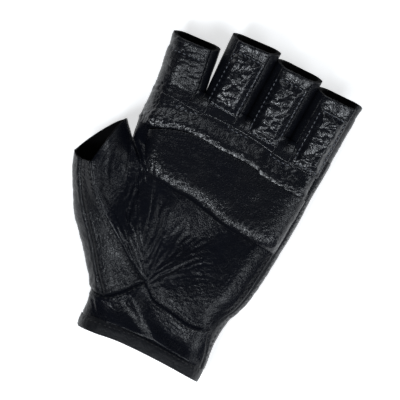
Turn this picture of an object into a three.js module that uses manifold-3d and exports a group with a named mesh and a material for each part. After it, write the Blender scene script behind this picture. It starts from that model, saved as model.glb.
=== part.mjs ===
// A left-hand half-finger leather glove, lying on the back of the hand with its palm up.
// Units are millimetres. X runs across the palm to the little finger, Y from the cuff to the
// fingers and Z up out of the palm. Every leather panel is a sheet that follows one filled-out
// glove shape: a closed outline in plan, rounded along its edges, with a palm side and a back side.
import * as THREE from "three";
import { mergeVertices } from "three/addons/utils/BufferGeometryUtils.js";
import Module from "manifold-3d";

const wasm = await Module();
wasm.setup();

// ---- Driving dimensions -------------------------------------------------------------------
const LEATHER = 1.2; // thickness of every leather panel
const HEM = 2.4; // thickness of the folded cuff hem
const LAYER_GAP = 0.4; // clearance between stacked layers
const SEAM_GAP = 0.4; // clearance between panels that meet edge to edge
const RIDGE_GAP = 0.9; // how far each panel stops from the thumb's raised seam

const HAND_LENGTH = 139; // cuff to the webs between the fingers
const FINGER_PITCH = 26; // centre to centre of the finger stalls at the webs
const FINGER_GAP = 0.8; // between neighbouring stalls
const PALM_DEPTH = 26.6; // back of the hand to the palm, over the leather
const FINGER_DEPTH = 20; // depth of a stall at its root
const TIP_DEPTH = 17.2; // depth of a stall at its opening
const FINGER_CURL = 10; // degrees that the relaxed stalls rise
const PALM_ROUND = 15; // radius that the palm's sides are rounded to
const FINGER_ROUND = 10.5; // the same on a stall

const CUFF_WIDTH = 72; // across the hem
const CUFF_CENTRE = 7.6; // the wrist lies off the palm's centre line, away from the thumb
const WRIST_Y = 16; // where the elastic pulls the wrist in
const WRIST_TUCK = 1.4; // how far the elastic pulls the leather in
const ELASTIC_WIDTH = 7;
const ELASTIC = 1; // thickness of the elastic
const HEM_WIDTH = 6.4;

const THUMB_LENGTH = 84; // along the thumb, from the wrist to its opening
const THUMB_WIDTH = 31;
const THUMB_SPLAY = 35.4; // degrees between the thumb and the fingers
const THUMB_RISE = 14; // how far the thumb's opening is lifted above the hand
const THUMB_SLANT = 0.5; // slope of the cut across the thumb's opening
const THUMB_RIDGE = 4.5; // height of the ridge along the thumb's seam

const HEEL_Y = 27; // middle of the palm heel's lower seam
const BAND_Y = 82; // lower edge of the padded palm band
const BAND_WIDTH = 31;
const BAND_BULGE = 2.6; // how far the foam lifts the band's cover
const UPPER_LIFT = 2; // how far the finger-root cover stands over the palm
const PAD = 2.2; // thickness of the foam under the stalls
const PAD_END = 11; // distance from a stall's foam to its opening
const GUSSET_WIDTH = 9.4; // width of the gusset at the foot of each web
const GUSSET_LENGTH = 11;
const FOURCHETTE_COVER = 0.62; // share of a stall's half width that its palm panel covers
const KNUCKLE_GAP = 1.2; // between a stall and the hand, on the palm
const STALL_OPENS = 8; // degrees a stall can bend back from rest
const THUMB_OPENS = 8; // degrees the thumb can swing out from rest
const THUMB_FOLDS = 30; // degrees the thumb can fold over the palm
const THUMB_AXIS_Z = 26; // height of the line that the thumb folds about

// Each stall: its length from the web, how far its sides lean outwards over that length,
// how much longer the side next to the little finger is, any extra width at its root and
// whether there is foam under its palm side.
const FINGERS = [
  { name: "index", length: 22.5, leanLeft: 2.5, leanRight: 4.7, slant: 2.4, rootExtra: 1.2, padded: false },
  { name: "middle", length: 35.5, leanLeft: 1.6, leanRight: 0.4, slant: 2.2, rootExtra: 0, padded: true },
  { name: "ring", length: 34, leanLeft: 0, leanRight: 0, slant: 1, rootExtra: 0, padded: true },
  { name: "little", length: 31, leanLeft: 0, leanRight: 0, slant: 0.6, rootExtra: 0, padded: true },
];

// ---- Outline in plan ----------------------------------------------------------------------
const point = (x, y) => new THREE.Vector2(x, y);
const radians = THREE.MathUtils.degToRad;
const smoothstep = THREE.MathUtils.smoothstep;
const lerp = THREE.MathUtils.lerp;

const palmHalf = 2 * FINGER_PITCH;
const cuffLeft = CUFF_CENTRE - CUFF_WIDTH / 2;
const cuffRight = CUFF_CENTRE + CUFF_WIDTH / 2;
const pinch = point(cuffLeft, WRIST_Y);
const thumbAxis = point(-Math.sin(radians(THUMB_SPLAY)), Math.cos(radians(THUMB_SPLAY)));
const thumbAcross = point(thumbAxis.y, -thumbAxis.x);

// A point in the thumb's own directions: along it from the wrist, and across it from its outer edge.
function onThumb(along, across) {
  return pinch.clone().addScaledVector(thumbAxis, along).addScaledVector(thumbAcross, across);
}
const thumbOpenOuter = onThumb(THUMB_LENGTH - (THUMB_SLANT * THUMB_WIDTH) / 2, -1.5);
const thumbOpenInner = onThumb(THUMB_LENGTH + (THUMB_SLANT * THUMB_WIDTH) / 2, THUMB_WIDTH - 1.5);
const thumbCrotch = onThumb(THUMB_LENGTH - 4, THUMB_WIDTH + 1);
const seamCross = point(cuffLeft + 21, WRIST_Y + 19); // where the thumb's seam meets the wrist

// Each stall's corners, from its root to its opening.
const stalls = FINGERS.map((finger, i) => {
  const rootLeft = (i - 2) * FINGER_PITCH + FINGER_GAP / 2 - finger.rootExtra;
  const rootRight = (i - 1) * FINGER_PITCH - FINGER_GAP / 2;
  return {
    ...finger,
    rootLeft,
    rootRight,
    tipLeft: rootLeft - finger.leanLeft,
    tipRight: rootRight - finger.leanRight,
  };
});
// The stall's left or right side at a distance from the web, extended past its opening.
function stallSide(stall, along, side) {
  const [root, tip] =
    side < 0 ? [stall.rootLeft, stall.tipLeft] : [stall.rootRight, stall.tipRight];
  return root + ((tip - root) * along) / stall.length;
}

const EXTEND = 30; // how far the outline's sides run on past an opening
const rightEdge = new THREE.SplineCurve([
  point(cuffRight - 2, -12),
  point(cuffRight, 0),
  point(cuffRight - 0.6, WRIST_Y),
  point(cuffRight, WRIST_Y + 16),
  point(palmHalf - 3.6, WRIST_Y + 38),
  point(palmHalf - 1, BAND_Y),
  point(palmHalf - 0.4, HAND_LENGTH - 20),
  point(palmHalf - FINGER_GAP / 2, HAND_LENGTH),
]);
const cuffEdge = new THREE.SplineCurve([
  point(cuffLeft + 0.8, -12),
  point(cuffLeft + 0.4, 0),
  point(cuffLeft, 8),
  pinch,
]);
const thumbEdge = new THREE.SplineCurve([
  pinch,
  onThumb(0.28 * THUMB_LENGTH, 0.6),
  onThumb(0.58 * THUMB_LENGTH, -0.8),
  thumbOpenOuter,
]);
const indexEdge = new THREE.SplineCurve([
  thumbCrotch,
  point(lerp(thumbCrotch.x, stalls[0].rootLeft, 0.66), lerp(thumbCrotch.y, HAND_LENGTH, 0.31)),
  point(stalls[0].rootLeft + 0.5, HAND_LENGTH - 9),
  point(stalls[0].rootLeft, HAND_LENGTH),
]);

// Everything the shape is rounded towards: the sides, but not the openings.
function sideLines() {
  const lines = [rightEdge, cuffEdge, thumbEdge, indexEdge].map((c) => c.getPoints(260));
  lines[0].push(point(palmHalf - FINGER_GAP / 2, HAND_LENGTH + 80));
  lines[2].push(thumbOpenOuter.clone().addScaledVector(thumbAxis, EXTEND));
  const past = thumbOpenInner.clone().addScaledVector(thumbAxis, EXTEND);
  lines.push([thumbCrotch, thumbOpenInner, past]);
  stalls.forEach((stall, i) => {
    const run = stall.length + EXTEND;
    const top = HAND_LENGTH + run;
    if (i === 0) lines[3].push(point(stallSide(stall, run, -1), top));
    else lines.push([point((i - 2) * FINGER_PITCH, HAND_LENGTH), point(stallSide(stall, run, -1), top)]);
    if (i < 3) {
      lines.push([point((i - 1) * FINGER_PITCH, HAND_LENGTH), point(stallSide(stall, run, 1), top)]);
    }
  });
  return lines;
}

function distanceTo(lines, x, y) {
  let best = Infinity;
  for (const line of lines) {
    for (let i = 1; i < line.length; i++) {
      const [a, b] = [line[i - 1], line[i]];
      const [dx, dy] = [b.x - a.x, b.y - a.y];
      const share = ((x - a.x) * dx + (y - a.y) * dy) / (dx * dx + dy * dy);
      const t = THREE.MathUtils.clamp(share, 0, 1);
      best = Math.min(best, Math.hypot(x - a.x - t * dx, y - a.y - t * dy));
    }
  }
  return best;
}
const sides = sideLines();

// ---- The filled-out shape -----------------------------------------------------------------
const thumbRidge = onThumb(THUMB_LENGTH - 0.3 * THUMB_WIDTH, 0.24 * THUMB_WIDTH);
const thumbSeam = new THREE.SplineCurve([
  thumbRidge,
  onThumb(0.62 * THUMB_LENGTH, 9.5),
  onThumb(0.4 * THUMB_LENGTH, 14.5),
  seamCross,
]);
const thumbSeamLine = [thumbSeam.getPoints(24)];
const foldStart = pinch;
const foldEnd = thumbCrotch;
const foldAlong = foldEnd.clone().sub(foldStart).normalize();

// How far a point lies on the thumb's side of the line that the thumb folds about.
function thumbSideOf(x, y) {
  return (y - foldStart.y) * foldAlong.x - (x - foldStart.x) * foldAlong.y;
}
// The thumb's lift fades out past its inner edge, so that it doesn't reach the index stall.
function thumbWeight(x, y) {
  const past = (x - thumbCrotch.x) * thumbAcross.x + (y - thumbCrotch.y) * thumbAcross.y;
  const fold = smoothstep(thumbSideOf(x, y), -6, 12) * smoothstep(y, WRIST_Y, WRIST_Y + 30);
  return fold * (1 - smoothstep(past, 0, 12));
}
function fingerShare(y) {
  return smoothstep(y, HAND_LENGTH - 39, HAND_LENGTH - 4);
}

// Height of the surface that runs midway between palm and back.
function middle(x, y) {
  const along = Math.max(0, (x - pinch.x) * thumbAxis.x + (y - pinch.y) * thumbAxis.y);
  const flat = PALM_DEPTH / 2 + SEAM_GAP / 2;
  const knuckle = lerp(flat, FINGER_DEPTH / 2 + SEAM_GAP / 2 + 1.6, fingerShare(y));
  const rise = Math.max(0, y - HAND_LENGTH + 4) * Math.tan(radians(FINGER_CURL));
  return knuckle + rise + THUMB_RISE * (along / THUMB_LENGTH) ** 2 * thumbWeight(x, y);
}
// Half the depth of the filled glove, away from its edges.
function halfDepth(x, y) {
  const tip = smoothstep(y, HAND_LENGTH, HAND_LENGTH + 36);
  const finger = lerp(FINGER_DEPTH, TIP_DEPTH, tip) / 2;
  const tuck = WRIST_TUCK * Math.exp(-(((y - WRIST_Y) / 7) ** 2));
  return lerp(PALM_DEPTH / 2, finger, fingerShare(y)) - tuck;
}
function rounding(y) {
  return lerp(PALM_ROUND, FINGER_ROUND, fingerShare(y));
}
// Mounds and hollow of the palm.
function mounds(x, y) {
  const hill = (cx, cy, sx, sy) => Math.exp(-(((x - cx) / sx) ** 2) - ((y - cy) / sy) ** 2);
  const along = (x - seamCross.x) * thumbAxis.x + (y - seamCross.y) * thumbAxis.y;
  const ramp = smoothstep(along, 0, 0.75 * THUMB_LENGTH);
  const ridge = Math.max(0, 1 - distanceTo(thumbSeamLine, x, y) / 13) ** 2 * ramp;
  return (
    3 * hill(-26, 52, 15, 20) + 1.6 * hill(30, 52, 16, 22) -
    2.4 * hill(2, 64, 15, 17) + THUMB_RIDGE * ridge
  );
}
// Point of the outer surface on the palm side (side 1) or the back (side -1).
function skin(x, y, side) {
  const share = Math.min(1, distanceTo(sides, x, y) / rounding(y));
  const profile = Math.sqrt(1 - (1 - share) ** 2);
  const relief = side > 0 ? mounds(x, y) * smoothstep(share, 0, 1) : 0;
  const height = halfDepth(x, y) * profile + relief + SEAM_GAP / 2;
  return new THREE.Vector3(x, y, middle(x, y) + side * height);
}

// ---- Sheets -------------------------------------------------------------------------------
// A patch between four curves, each a function from 0..1 to a point in plan.
function coons(bottom, top, left, right) {
  return (u, v) => {
    const across = bottom(u).multiplyScalar(1 - v).add(top(u).multiplyScalar(v));
    const up = left(v).multiplyScalar(1 - u).add(right(v).multiplyScalar(u));
    const corners = bottom(0).multiplyScalar((1 - u) * (1 - v))
      .add(bottom(1).multiplyScalar(u * (1 - v)))
      .add(top(0).multiplyScalar((1 - u) * v))
      .add(top(1).multiplyScalar(u * v));
    return across.add(up).sub(corners);
  };
}
const straight = (a, b) => (t) => a.clone().lerp(b, t);
const through = (...points) => {
  const curve = new THREE.SplineCurve(points);
  return (t) => curve.getPointAt(t).clone();
};
// The stretch of an edge between two heights.
function along(edge, yStart, yEnd, inset = 0) {
  const at = (y) => {
    let [low, high] = [0, 1];
    for (let i = 0; i < 30; i++) {
      const middleT = (low + high) / 2;
      if (edge.getPoint(middleT).y < y) low = middleT;
      else high = middleT;
    }
    return low;
  };
  const [t0, t1] = [at(yStart), at(yEnd)];
  return (t) => edge.getPoint(lerp(t0, t1, t)).clone().add(point(inset, 0));
}

const STEP = 1e-3; // step in a patch's own coordinates used to find its normal

function normalOf(surface, u, v, side) {
  const [u0, u1] = [Math.max(0, u - STEP), Math.min(1, u + STEP)];
  const [v0, v1] = [Math.max(0, v - STEP), Math.min(1, v + STEP)];
  const du = surface(u1, v).sub(surface(u0, v));
  const dv = surface(u, v1).sub(surface(u, v0));
  return du.cross(dv).normalize().multiplyScalar(side);
}

// A closed sheet over a surface: outer(u, v) and inner(u, v) say how far each face stands off it.
function sheet(surface, cellsU, cellsV, outer, inner, side = 1, closed = false) {
  const columns = closed ? cellsU : cellsU + 1;
  const count = columns * (cellsV + 1);
  const positions = [];
  for (const face of [outer, inner]) {
    for (let j = 0; j <= cellsV; j++) {
      for (let i = 0; i < columns; i++) {
        const [u, v] = [i / cellsU, j / cellsV];
        const at = surface(u, v).addScaledVector(normalOf(surface, u, v, side), face(u, v));
        positions.push(at.x, at.y, at.z);
      }
    }
  }
  const index = [];
  const id = (i, j, layer) => layer * count + j * columns + (i % columns);
  const quad = (a, b, c, d) => {
    if (side > 0) index.push(a, b, c, a, c, d);
    else index.push(a, c, b, a, d, c);
  };
  for (let j = 0; j < cellsV; j++) {
    for (let i = 0; i < cellsU; i++) {
      quad(id(i, j, 0), id(i + 1, j, 0), id(i + 1, j + 1, 0), id(i, j + 1, 0));
      quad(id(i, j, 1), id(i, j + 1, 1), id(i + 1, j + 1, 1), id(i + 1, j, 1));
    }
    if (closed) continue;
    quad(id(0, j, 0), id(0, j + 1, 0), id(0, j + 1, 1), id(0, j, 1));
    quad(id(cellsU, j, 0), id(cellsU, j, 1), id(cellsU, j + 1, 1), id(cellsU, j + 1, 0));
  }
  for (let i = 0; i < cellsU; i++) {
    quad(id(i, 0, 0), id(i, 0, 1), id(i + 1, 0, 1), id(i + 1, 0, 0));
    quad(id(i, cellsV, 0), id(i + 1, cellsV, 0), id(i + 1, cellsV, 1), id(i, cellsV, 1));
  }
  const geometry = new THREE.BufferGeometry();
  geometry.setAttribute("position", new THREE.Float32BufferAttribute(positions, 3));
  geometry.setIndex(index);
  return geometry;
}
const thick = (value) => () => value;

// Spacing that gathers a patch's cells towards its two rounded edges, or towards one of them.
const easeBoth = (t) => (1 - Math.cos(Math.PI * t)) / 2;
const easeStart = (t) => 1 - Math.cos((Math.PI * t) / 2);
const easeEnd = (t) => Math.sin((Math.PI * t) / 2);
function onSkin(plan, side, ease = (t) => t) {
  return (u, v) => {
    const at = plan(ease(u), v);
    return skin(at.x, at.y, side);
  };
}
function leatherSheet(plan, cellsU, cellsV, side, ease, lift = thick(0), thickness = LEATHER) {
  const under = (u, v) => lift(u, v) - thickness;
  return sheet(onSkin(plan, side, ease), cellsU, cellsV, lift, under, side);
}

// ---- Booleans -----------------------------------------------------------------------------
function solidOf(geometry) {
  const bare = geometry.clone();
  bare.deleteAttribute("normal");
  bare.deleteAttribute("uv");
  const merged = mergeVertices(bare, 1e-4);
  const mesh = new wasm.Mesh({
    numProp: 3,
    vertProperties: new Float32Array(merged.attributes.position.array),
    triVerts: new Uint32Array(merged.index.array),
  });
  return new wasm.Manifold(mesh);
}
function geometryOf(solid) {
  const mesh = solid.getMesh();
  const geometry = new THREE.BufferGeometry();
  geometry.setAttribute("position", new THREE.BufferAttribute(mesh.vertProperties, 3));
  geometry.setIndex(new THREE.BufferAttribute(mesh.triVerts, 1));
  return geometry;
}
function boxFrom(low, high) {
  const size = high.clone().sub(low);
  const centre = low.clone().add(high).multiplyScalar(0.5);
  return new THREE.BoxGeometry(size.x, size.y, size.z).translate(centre.x, centre.y, centre.z);
}

// ---- Materials ----------------------------------------------------------------------------
const leather = () =>
  new THREE.MeshStandardMaterial({ color: 0x15151a, roughness: 0.45, metalness: 0 });
const foam = () =>
  new THREE.MeshStandardMaterial({ color: 0x2a2a2c, roughness: 0.95, metalness: 0 });
const webbing = () =>
  new THREE.MeshStandardMaterial({ color: 0x101012, roughness: 0.85, metalness: 0 });

const glove = new THREE.Group();
function add(name, geometry, material) {
  const mesh = new THREE.Mesh(geometry, material);
  mesh.name = name;
  glove.add(mesh);
}

// ---- Hand: cuff and wrist -----------------------------------------------------------------
// The hem runs out square to the sides and dips on the thumb's side.
const hemBottom = through(
  point(cuffLeft + 0.4, 0), point(cuffLeft + 7, -3.4), point(CUFF_CENTRE - 9, -0.8),
  point(CUFF_CENTRE + 14, 1), point(cuffRight, 0));
const shiftUp = (curve, rise) => (t) => curve(t).add(point(0, rise));
const pinned = (curve, left, right) => (t) => {
  // Keeps a curve's own height but ends it on the two side edges.
  const at = curve(t);
  const [first, last] = [curve(0), curve(1)];
  return at.add(point(lerp(left(at.y) - first.x, right(at.y) - last.x, t), 0));
};
const edgeX = (edge) => (y) => along(edge, y, y)(0).x;
const hemTop = pinned(shiftUp(hemBottom, HEM_WIDTH), edgeX(cuffEdge), edgeX(rightEdge));
const cuffStart = shiftUp(hemTop, SEAM_GAP);

function band(bottom, top, rightSide = rightEdge, leftSide = cuffEdge) {
  return coons(
    bottom, top,
    along(leftSide, bottom(0).y, top(0).y), along(rightSide, bottom(1).y, top(1).y));
}

function cuffHem(side) {
  const plan = band(hemBottom, hemTop);
  return leatherSheet(plan, 12, 2, side, easeBoth, thick(0), HEM);
}
add("cuff_hem_palm", cuffHem(1), leather());
add("cuff_hem_back", cuffHem(-1), leather());

// The palm heel's seam: up from the pinched wrist to the crossing, then round the heel.
const heelRise = 11;
const heelEnd = HEEL_Y + heelRise;
const wristToCross = straight(pinch, seamCross);
const crossToSide = through(
  seamCross, point(seamCross.x + 12, HEEL_Y + 1), point(CUFF_CENTRE + 14, HEEL_Y - 1.5),
  point(cuffRight - 8, HEEL_Y + 3), point(edgeX(rightEdge)(heelEnd), heelEnd));
const SPLIT = 0.34; // share of the wrist line that lies before the crossing
const wristLine = (t) =>
  t < SPLIT ? wristToCross(t / SPLIT) : crossToSide((t - SPLIT) / (1 - SPLIT));

const cuffTop = shiftUp(wristLine, -SEAM_GAP);
const cuffPlan = coons(
  cuffStart, cuffTop,
  along(cuffEdge, cuffStart(0).y, cuffTop(0).y), along(rightEdge, cuffStart(1).y, cuffTop(1).y));
add("cuff_palm", leatherSheet(cuffPlan, 14, 4, 1, easeBoth), leather());

// ---- Hand: palm ---------------------------------------------------------------------------
// The hand's panels stop short of the thumb's fold by what the thumb needs to swing.
const foldClearTop = (PALM_DEPTH + 3 - THUMB_AXIS_Z) * Math.tan(radians(THUMB_FOLDS)) + SEAM_GAP;
const foldClearBack = THUMB_AXIS_Z * Math.tan(radians(THUMB_OPENS)) + SEAM_GAP;
const foldAcross = point(foldAlong.y, -foldAlong.x);
const onFold = (t, off) =>
  foldStart.clone().lerp(foldEnd, t).addScaledVector(foldAcross, off);

// Where the thumb's seam crosses the fold, as a share of each.
function seamAtFold() {
  for (let t = 0; t < 1; t += 0.002) {
    const at = thumbSeam.getPoint(t);
    if (thumbSideOf(at.x, at.y) < 0) return t;
  }
  return 1;
}
const seamSplit = seamAtFold();
const seamSplitPoint = thumbSeam.getPoint(seamSplit);
const foldShare = seamSplitPoint.clone().sub(foldStart).dot(foldAlong) / foldEnd.distanceTo(foldStart);
const seamStretch = (from, to, off = 0) => (t) => {
  const s = lerp(from, to, t);
  const tangent = thumbSeam.getTangent(s);
  return thumbSeam.getPoint(s).clone().add(point(-tangent.y * off, tangent.x * off));
};

// Side panel of the thumb, as far as it lies on the hand: a triangle below the seam.
const sideHandPlan = coons(
  straight(onFold(0.03, 0.2).add(point(0, SEAM_GAP)), seamCross.clone().add(point(-0.4, SEAM_GAP))),
  straight(onFold(foldShare - 0.06, 0.2), onFold(foldShare - 0.06, 2.4)),
  (t) => onFold(lerp(0.03, foldShare - 0.06, t), 0.2).add(point(0, (1 - t) * SEAM_GAP)),
  (t) => seamStretch(1, seamSplit + 0.06, -SEAM_GAP)(t).lerp(onFold(foldShare - 0.06, 2.4), t * t));
add("wrist_side_panel", leatherSheet(sideHandPlan, 6, 8, 1, easeStart), leather());

const panelTopY = HAND_LENGTH - 21;
const palmBottom = shiftUp(crossToSide, SEAM_GAP);
const palmLeft = through(
  seamCross.clone().add(point(0.3, SEAM_GAP)), seamStretch(0.9, 0.9, SEAM_GAP)(0),
  seamStretch(seamSplit + 0.08, 1, SEAM_GAP)(0), onFold(foldShare + 0.14, 0.4), onFold(0.9, 0.6),
  point(thumbCrotch.x + 1.2, thumbCrotch.y + 3), point(edgeX(indexEdge)(panelTopY), panelTopY));
const palmPlan = coons(
  palmBottom, straight(palmLeft(1), point(edgeX(rightEdge)(panelTopY), panelTopY)),
  palmLeft, along(rightEdge, palmBottom(1).y, panelTopY));
add("palm_panel", leatherSheet(palmPlan, 20, 16, 1, easeBoth), leather());

// Padded band across the palm: a foam roll under a leather cover, sewn over the palm panel.
const foldX = (y) => lerp(foldStart.x, foldEnd.x, (y - foldStart.y) / (foldEnd.y - foldStart.y));
const leftOf = (y) => (y < thumbCrotch.y ? foldX(y) : edgeX(indexEdge)(y));
const bandStart = point(leftOf(BAND_Y + 4) + 14.3, BAND_Y + 4);
const bandTurn = point(leftOf(BAND_Y + 14) + 7.7, BAND_Y + 14);
const bandEnd = point(leftOf(BAND_Y + BAND_WIDTH - 3) + 9, BAND_Y + BAND_WIDTH - 3);
const bandRight = palmHalf - 5;
const bandBottom = through(
  bandStart, point(-12, BAND_Y + 2.4), point(18, BAND_Y - 0.6), point(bandRight, BAND_Y - 2));
const bandTop = through(
  bandEnd, point(-24, BAND_Y + BAND_WIDTH + 1),
  point(0, BAND_Y + BAND_WIDTH), point(24, BAND_Y + BAND_WIDTH - 1),
  point(bandRight, BAND_Y + BAND_WIDTH - 0.6));
const bandPlan = coons(
  bandBottom, bandTop,
  through(bandStart, bandTurn, bandEnd),
  straight(bandBottom(1), bandTop(1)));
const puff = (u, v) => Math.sqrt(Math.sin(Math.PI * v)) * Math.min(1, 8 * u, 8 * (1 - u));
const bandUnder = 3 * LAYER_GAP; // clear of the palm panel's own facets
const bandBase = bandUnder + LEATHER;
const bandSkin = onSkin(bandPlan, 1);
const bandCover = sheet(
  bandSkin, 16, 8,
  (u, v) => bandBase + BAND_BULGE * puff(u, v),
  (u, v) => bandUnder + BAND_BULGE * puff(u, v));
add("palm_band_cover", bandCover, leather());
const foamPlan = (u, v) => bandSkin(lerp(0.06, 0.94, u), lerp(0.14, 0.86, v));
const bandFoam = sheet(
  foamPlan, 14, 6,
  (u, v) => 2.2 * LAYER_GAP + (BAND_BULGE - 0.7) * puff(lerp(0.06, 0.94, u), lerp(0.14, 0.86, v)),
  thick(1.8 * LAYER_GAP));
add("palm_band_foam", bandFoam, foam());

// Cover over the finger roots, with a slot at the foot of each web for a gusset.
const slotFoot = HAND_LENGTH - GUSSET_LENGTH;
const knuckleY = HAND_LENGTH - KNUCKLE_GAP;
const upperBottom = pinned(shiftUp(bandTop, SEAM_GAP + 0.3), edgeX(indexEdge), edgeX(rightEdge));
const upperPlan = coons(
  upperBottom,
  straight(point(edgeX(indexEdge)(knuckleY), knuckleY), point(edgeX(rightEdge)(knuckleY), knuckleY)),
  along(indexEdge, upperBottom(0).y, knuckleY), along(rightEdge, upperBottom(1).y, knuckleY));
const upperLift = (u, v) => UPPER_LIFT * (1 - smoothstep(v, 0.45, 0.95));
const upperSheet = leatherSheet(upperPlan, 32, 7, 1, easeBoth, upperLift);
const webs = [-FINGER_PITCH, 0, FINGER_PITCH];
const slotHalf = GUSSET_WIDTH / 2 + 0.3;
const upperCover = webs.reduce((solid, x) => {
  const low = new THREE.Vector3(x - slotHalf, slotFoot, -50);
  const high = new THREE.Vector3(x + slotHalf, HAND_LENGTH + 20, 90);
  return solid.subtract(solidOf(boxFrom(low, high)));
}, solidOf(upperSheet));
add("finger_root_cover", geometryOf(upperCover), leather());

const rootFoamPlan = coons(
  straight(point(-palmHalf + 9, panelTopY + 1), point(palmHalf - 8, panelTopY + 1)),
  straight(point(-palmHalf + 9, slotFoot - 0.6), point(palmHalf - 8, slotFoot - 0.6)),
  straight(point(-palmHalf + 9, panelTopY + 1), point(-palmHalf + 9, slotFoot - 0.6)),
  straight(point(palmHalf - 8, panelTopY + 1), point(palmHalf - 8, slotFoot - 0.6)));
const rootFoam = sheet(
  onSkin(rootFoamPlan, 1), 16, 3,
  thick(-LEATHER - LAYER_GAP), thick(-LEATHER - LAYER_GAP - PAD));
add("finger_root_foam", rootFoam, foam());

// A gusset closes the foot of each web between two stalls.
const gussetNames = ["index_middle_gusset", "middle_ring_gusset", "ring_little_gusset"];
webs.forEach((x, i) => {
  const half = GUSSET_WIDTH / 2;
  const [low, high] = [slotFoot + 0.3, knuckleY];
  const plan = coons(
    straight(point(x - half, low), point(x + half, low)),
    straight(point(x - half, high), point(x + half, high)),
    straight(point(x - half, low), point(x - half, high)),
    straight(point(x + half, low), point(x + half, high)));
  const slot = boxFrom(new THREE.Vector3(x - half, low, -50), new THREE.Vector3(x + half, high, 90));
  const gusset = solidOf(leatherSheet(plan, 6, 6, 1, (t) => t)).intersect(solidOf(slot));
  add(gussetNames[i], geometryOf(gusset), leather());
});

// ---- Hand: back and elastic ---------------------------------------------------------------
const stallGapBack = FINGER_DEPTH * Math.tan(radians(STALL_OPENS)) + KNUCKLE_GAP;
const backTopY = HAND_LENGTH - stallGapBack;
const backLeft = through(
  cuffStart(0), point(pinch.x + 1.2, pinch.y), onFold(0.2, foldClearBack), onFold(0.55, foldClearBack),
  onFold(0.9, foldClearBack), point(thumbCrotch.x + foldClearBack, thumbCrotch.y + 2),
  point(edgeX(indexEdge)(HAND_LENGTH - 27), HAND_LENGTH - 27),
  point(edgeX(indexEdge)(backTopY), backTopY));
const backPlan = coons(
  cuffStart, straight(backLeft(1), point(edgeX(rightEdge)(backTopY), backTopY)),
  backLeft, along(rightEdge, cuffStart(1).y, backTopY));
add("back_panel", leatherSheet(backPlan, 16, 14, -1, easeBoth), leather());

// Flat elastic inside the wrist: across the back, and up to the seam crossing on the palm.
const elasticOuter = thick(-LEATHER - 2 * LAYER_GAP);
const elasticInner = thick(-LEATHER - 2 * LAYER_GAP - ELASTIC);
const elasticLow = WRIST_Y - ELASTIC_WIDTH / 2 - 1;
const elasticBackPlan = coons(
  straight(point(cuffLeft + 8, elasticLow), point(cuffRight - 8, elasticLow)),
  straight(point(cuffLeft + 8, elasticLow + ELASTIC_WIDTH), point(cuffRight - 8, elasticLow + ELASTIC_WIDTH)),
  straight(point(cuffLeft + 8, elasticLow), point(cuffLeft + 8, elasticLow + ELASTIC_WIDTH)),
  straight(point(cuffRight - 8, elasticLow), point(cuffRight - 8, elasticLow + ELASTIC_WIDTH)));
add("wrist_elastic_back",
  sheet(onSkin(elasticBackPlan, -1), 12, 2, elasticOuter, elasticInner, -1), webbing());
const elasticDrop = point(0, -ELASTIC_WIDTH);
const elasticFrom = pinch.clone().lerp(seamCross, 0.3).add(point(0.6, -1));
const elasticEnd = pinch.clone().lerp(seamCross, 0.92).add(point(0.6, -1));
const elasticPalmPlan = coons(
  straight(elasticFrom.clone().add(elasticDrop), elasticEnd.clone().add(elasticDrop)),
  straight(elasticFrom, elasticEnd),
  straight(elasticFrom.clone().add(elasticDrop), elasticFrom),
  straight(elasticEnd.clone().add(elasticDrop), elasticEnd));
add("wrist_elastic_palm",
  sheet(onSkin(elasticPalmPlan, 1), 6, 2, elasticOuter, elasticInner), webbing());

// ---- Stalls -------------------------------------------------------------------------------
// The palm side of an opening is cut back a little, and each opening slants across.
const PALM_CUT = 1.4;
function stallEnd(stall, across, side) {
  return HAND_LENGTH + stall.length + stall.slant * (across - 0.5) - (side > 0 ? PALM_CUT : 0);
}
// Plan of a stall between two shares of its width, from its root to its opening.
function stallPlan(stall, from, to, side) {
  const start = HAND_LENGTH + (side > 0 ? 0 : SEAM_GAP) + SEAM_GAP;
  return (u, v) => {
    const across = lerp(from, to, u);
    const y = lerp(start, stallEnd(stall, across, side), v);
    const distance = y - HAND_LENGTH;
    const x = lerp(stallSide(stall, distance, -1), stallSide(stall, distance, 1), across);
    return point(x, y);
  };
}
// A strip round the side of a stall, from its palm seam to its back seam.
function fourchette(stall, side) {
  const cover = Math.acos(FOURCHETTE_COVER);
  const surface = (u, v) => {
    const angle = lerp(cover, -cover, u);
    const across = side < 0 ? 0 : 1;
    const y = lerp(HAND_LENGTH + SEAM_GAP, stallEnd(stall, across, 0) - PALM_CUT / 2, v);
    const round = FINGER_ROUND;
    const depth = round * (1 - Math.cos(angle)) + 0.05;
    const x = stallSide(stall, y - HAND_LENGTH, side) - side * depth;
    return new THREE.Vector3(x, y, middle(x, y) + halfDepth(x, y) * Math.sin(angle));
  };
  return sheet(surface, 8, 4, thick(0), thick(-LEATHER), side);
}
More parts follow.
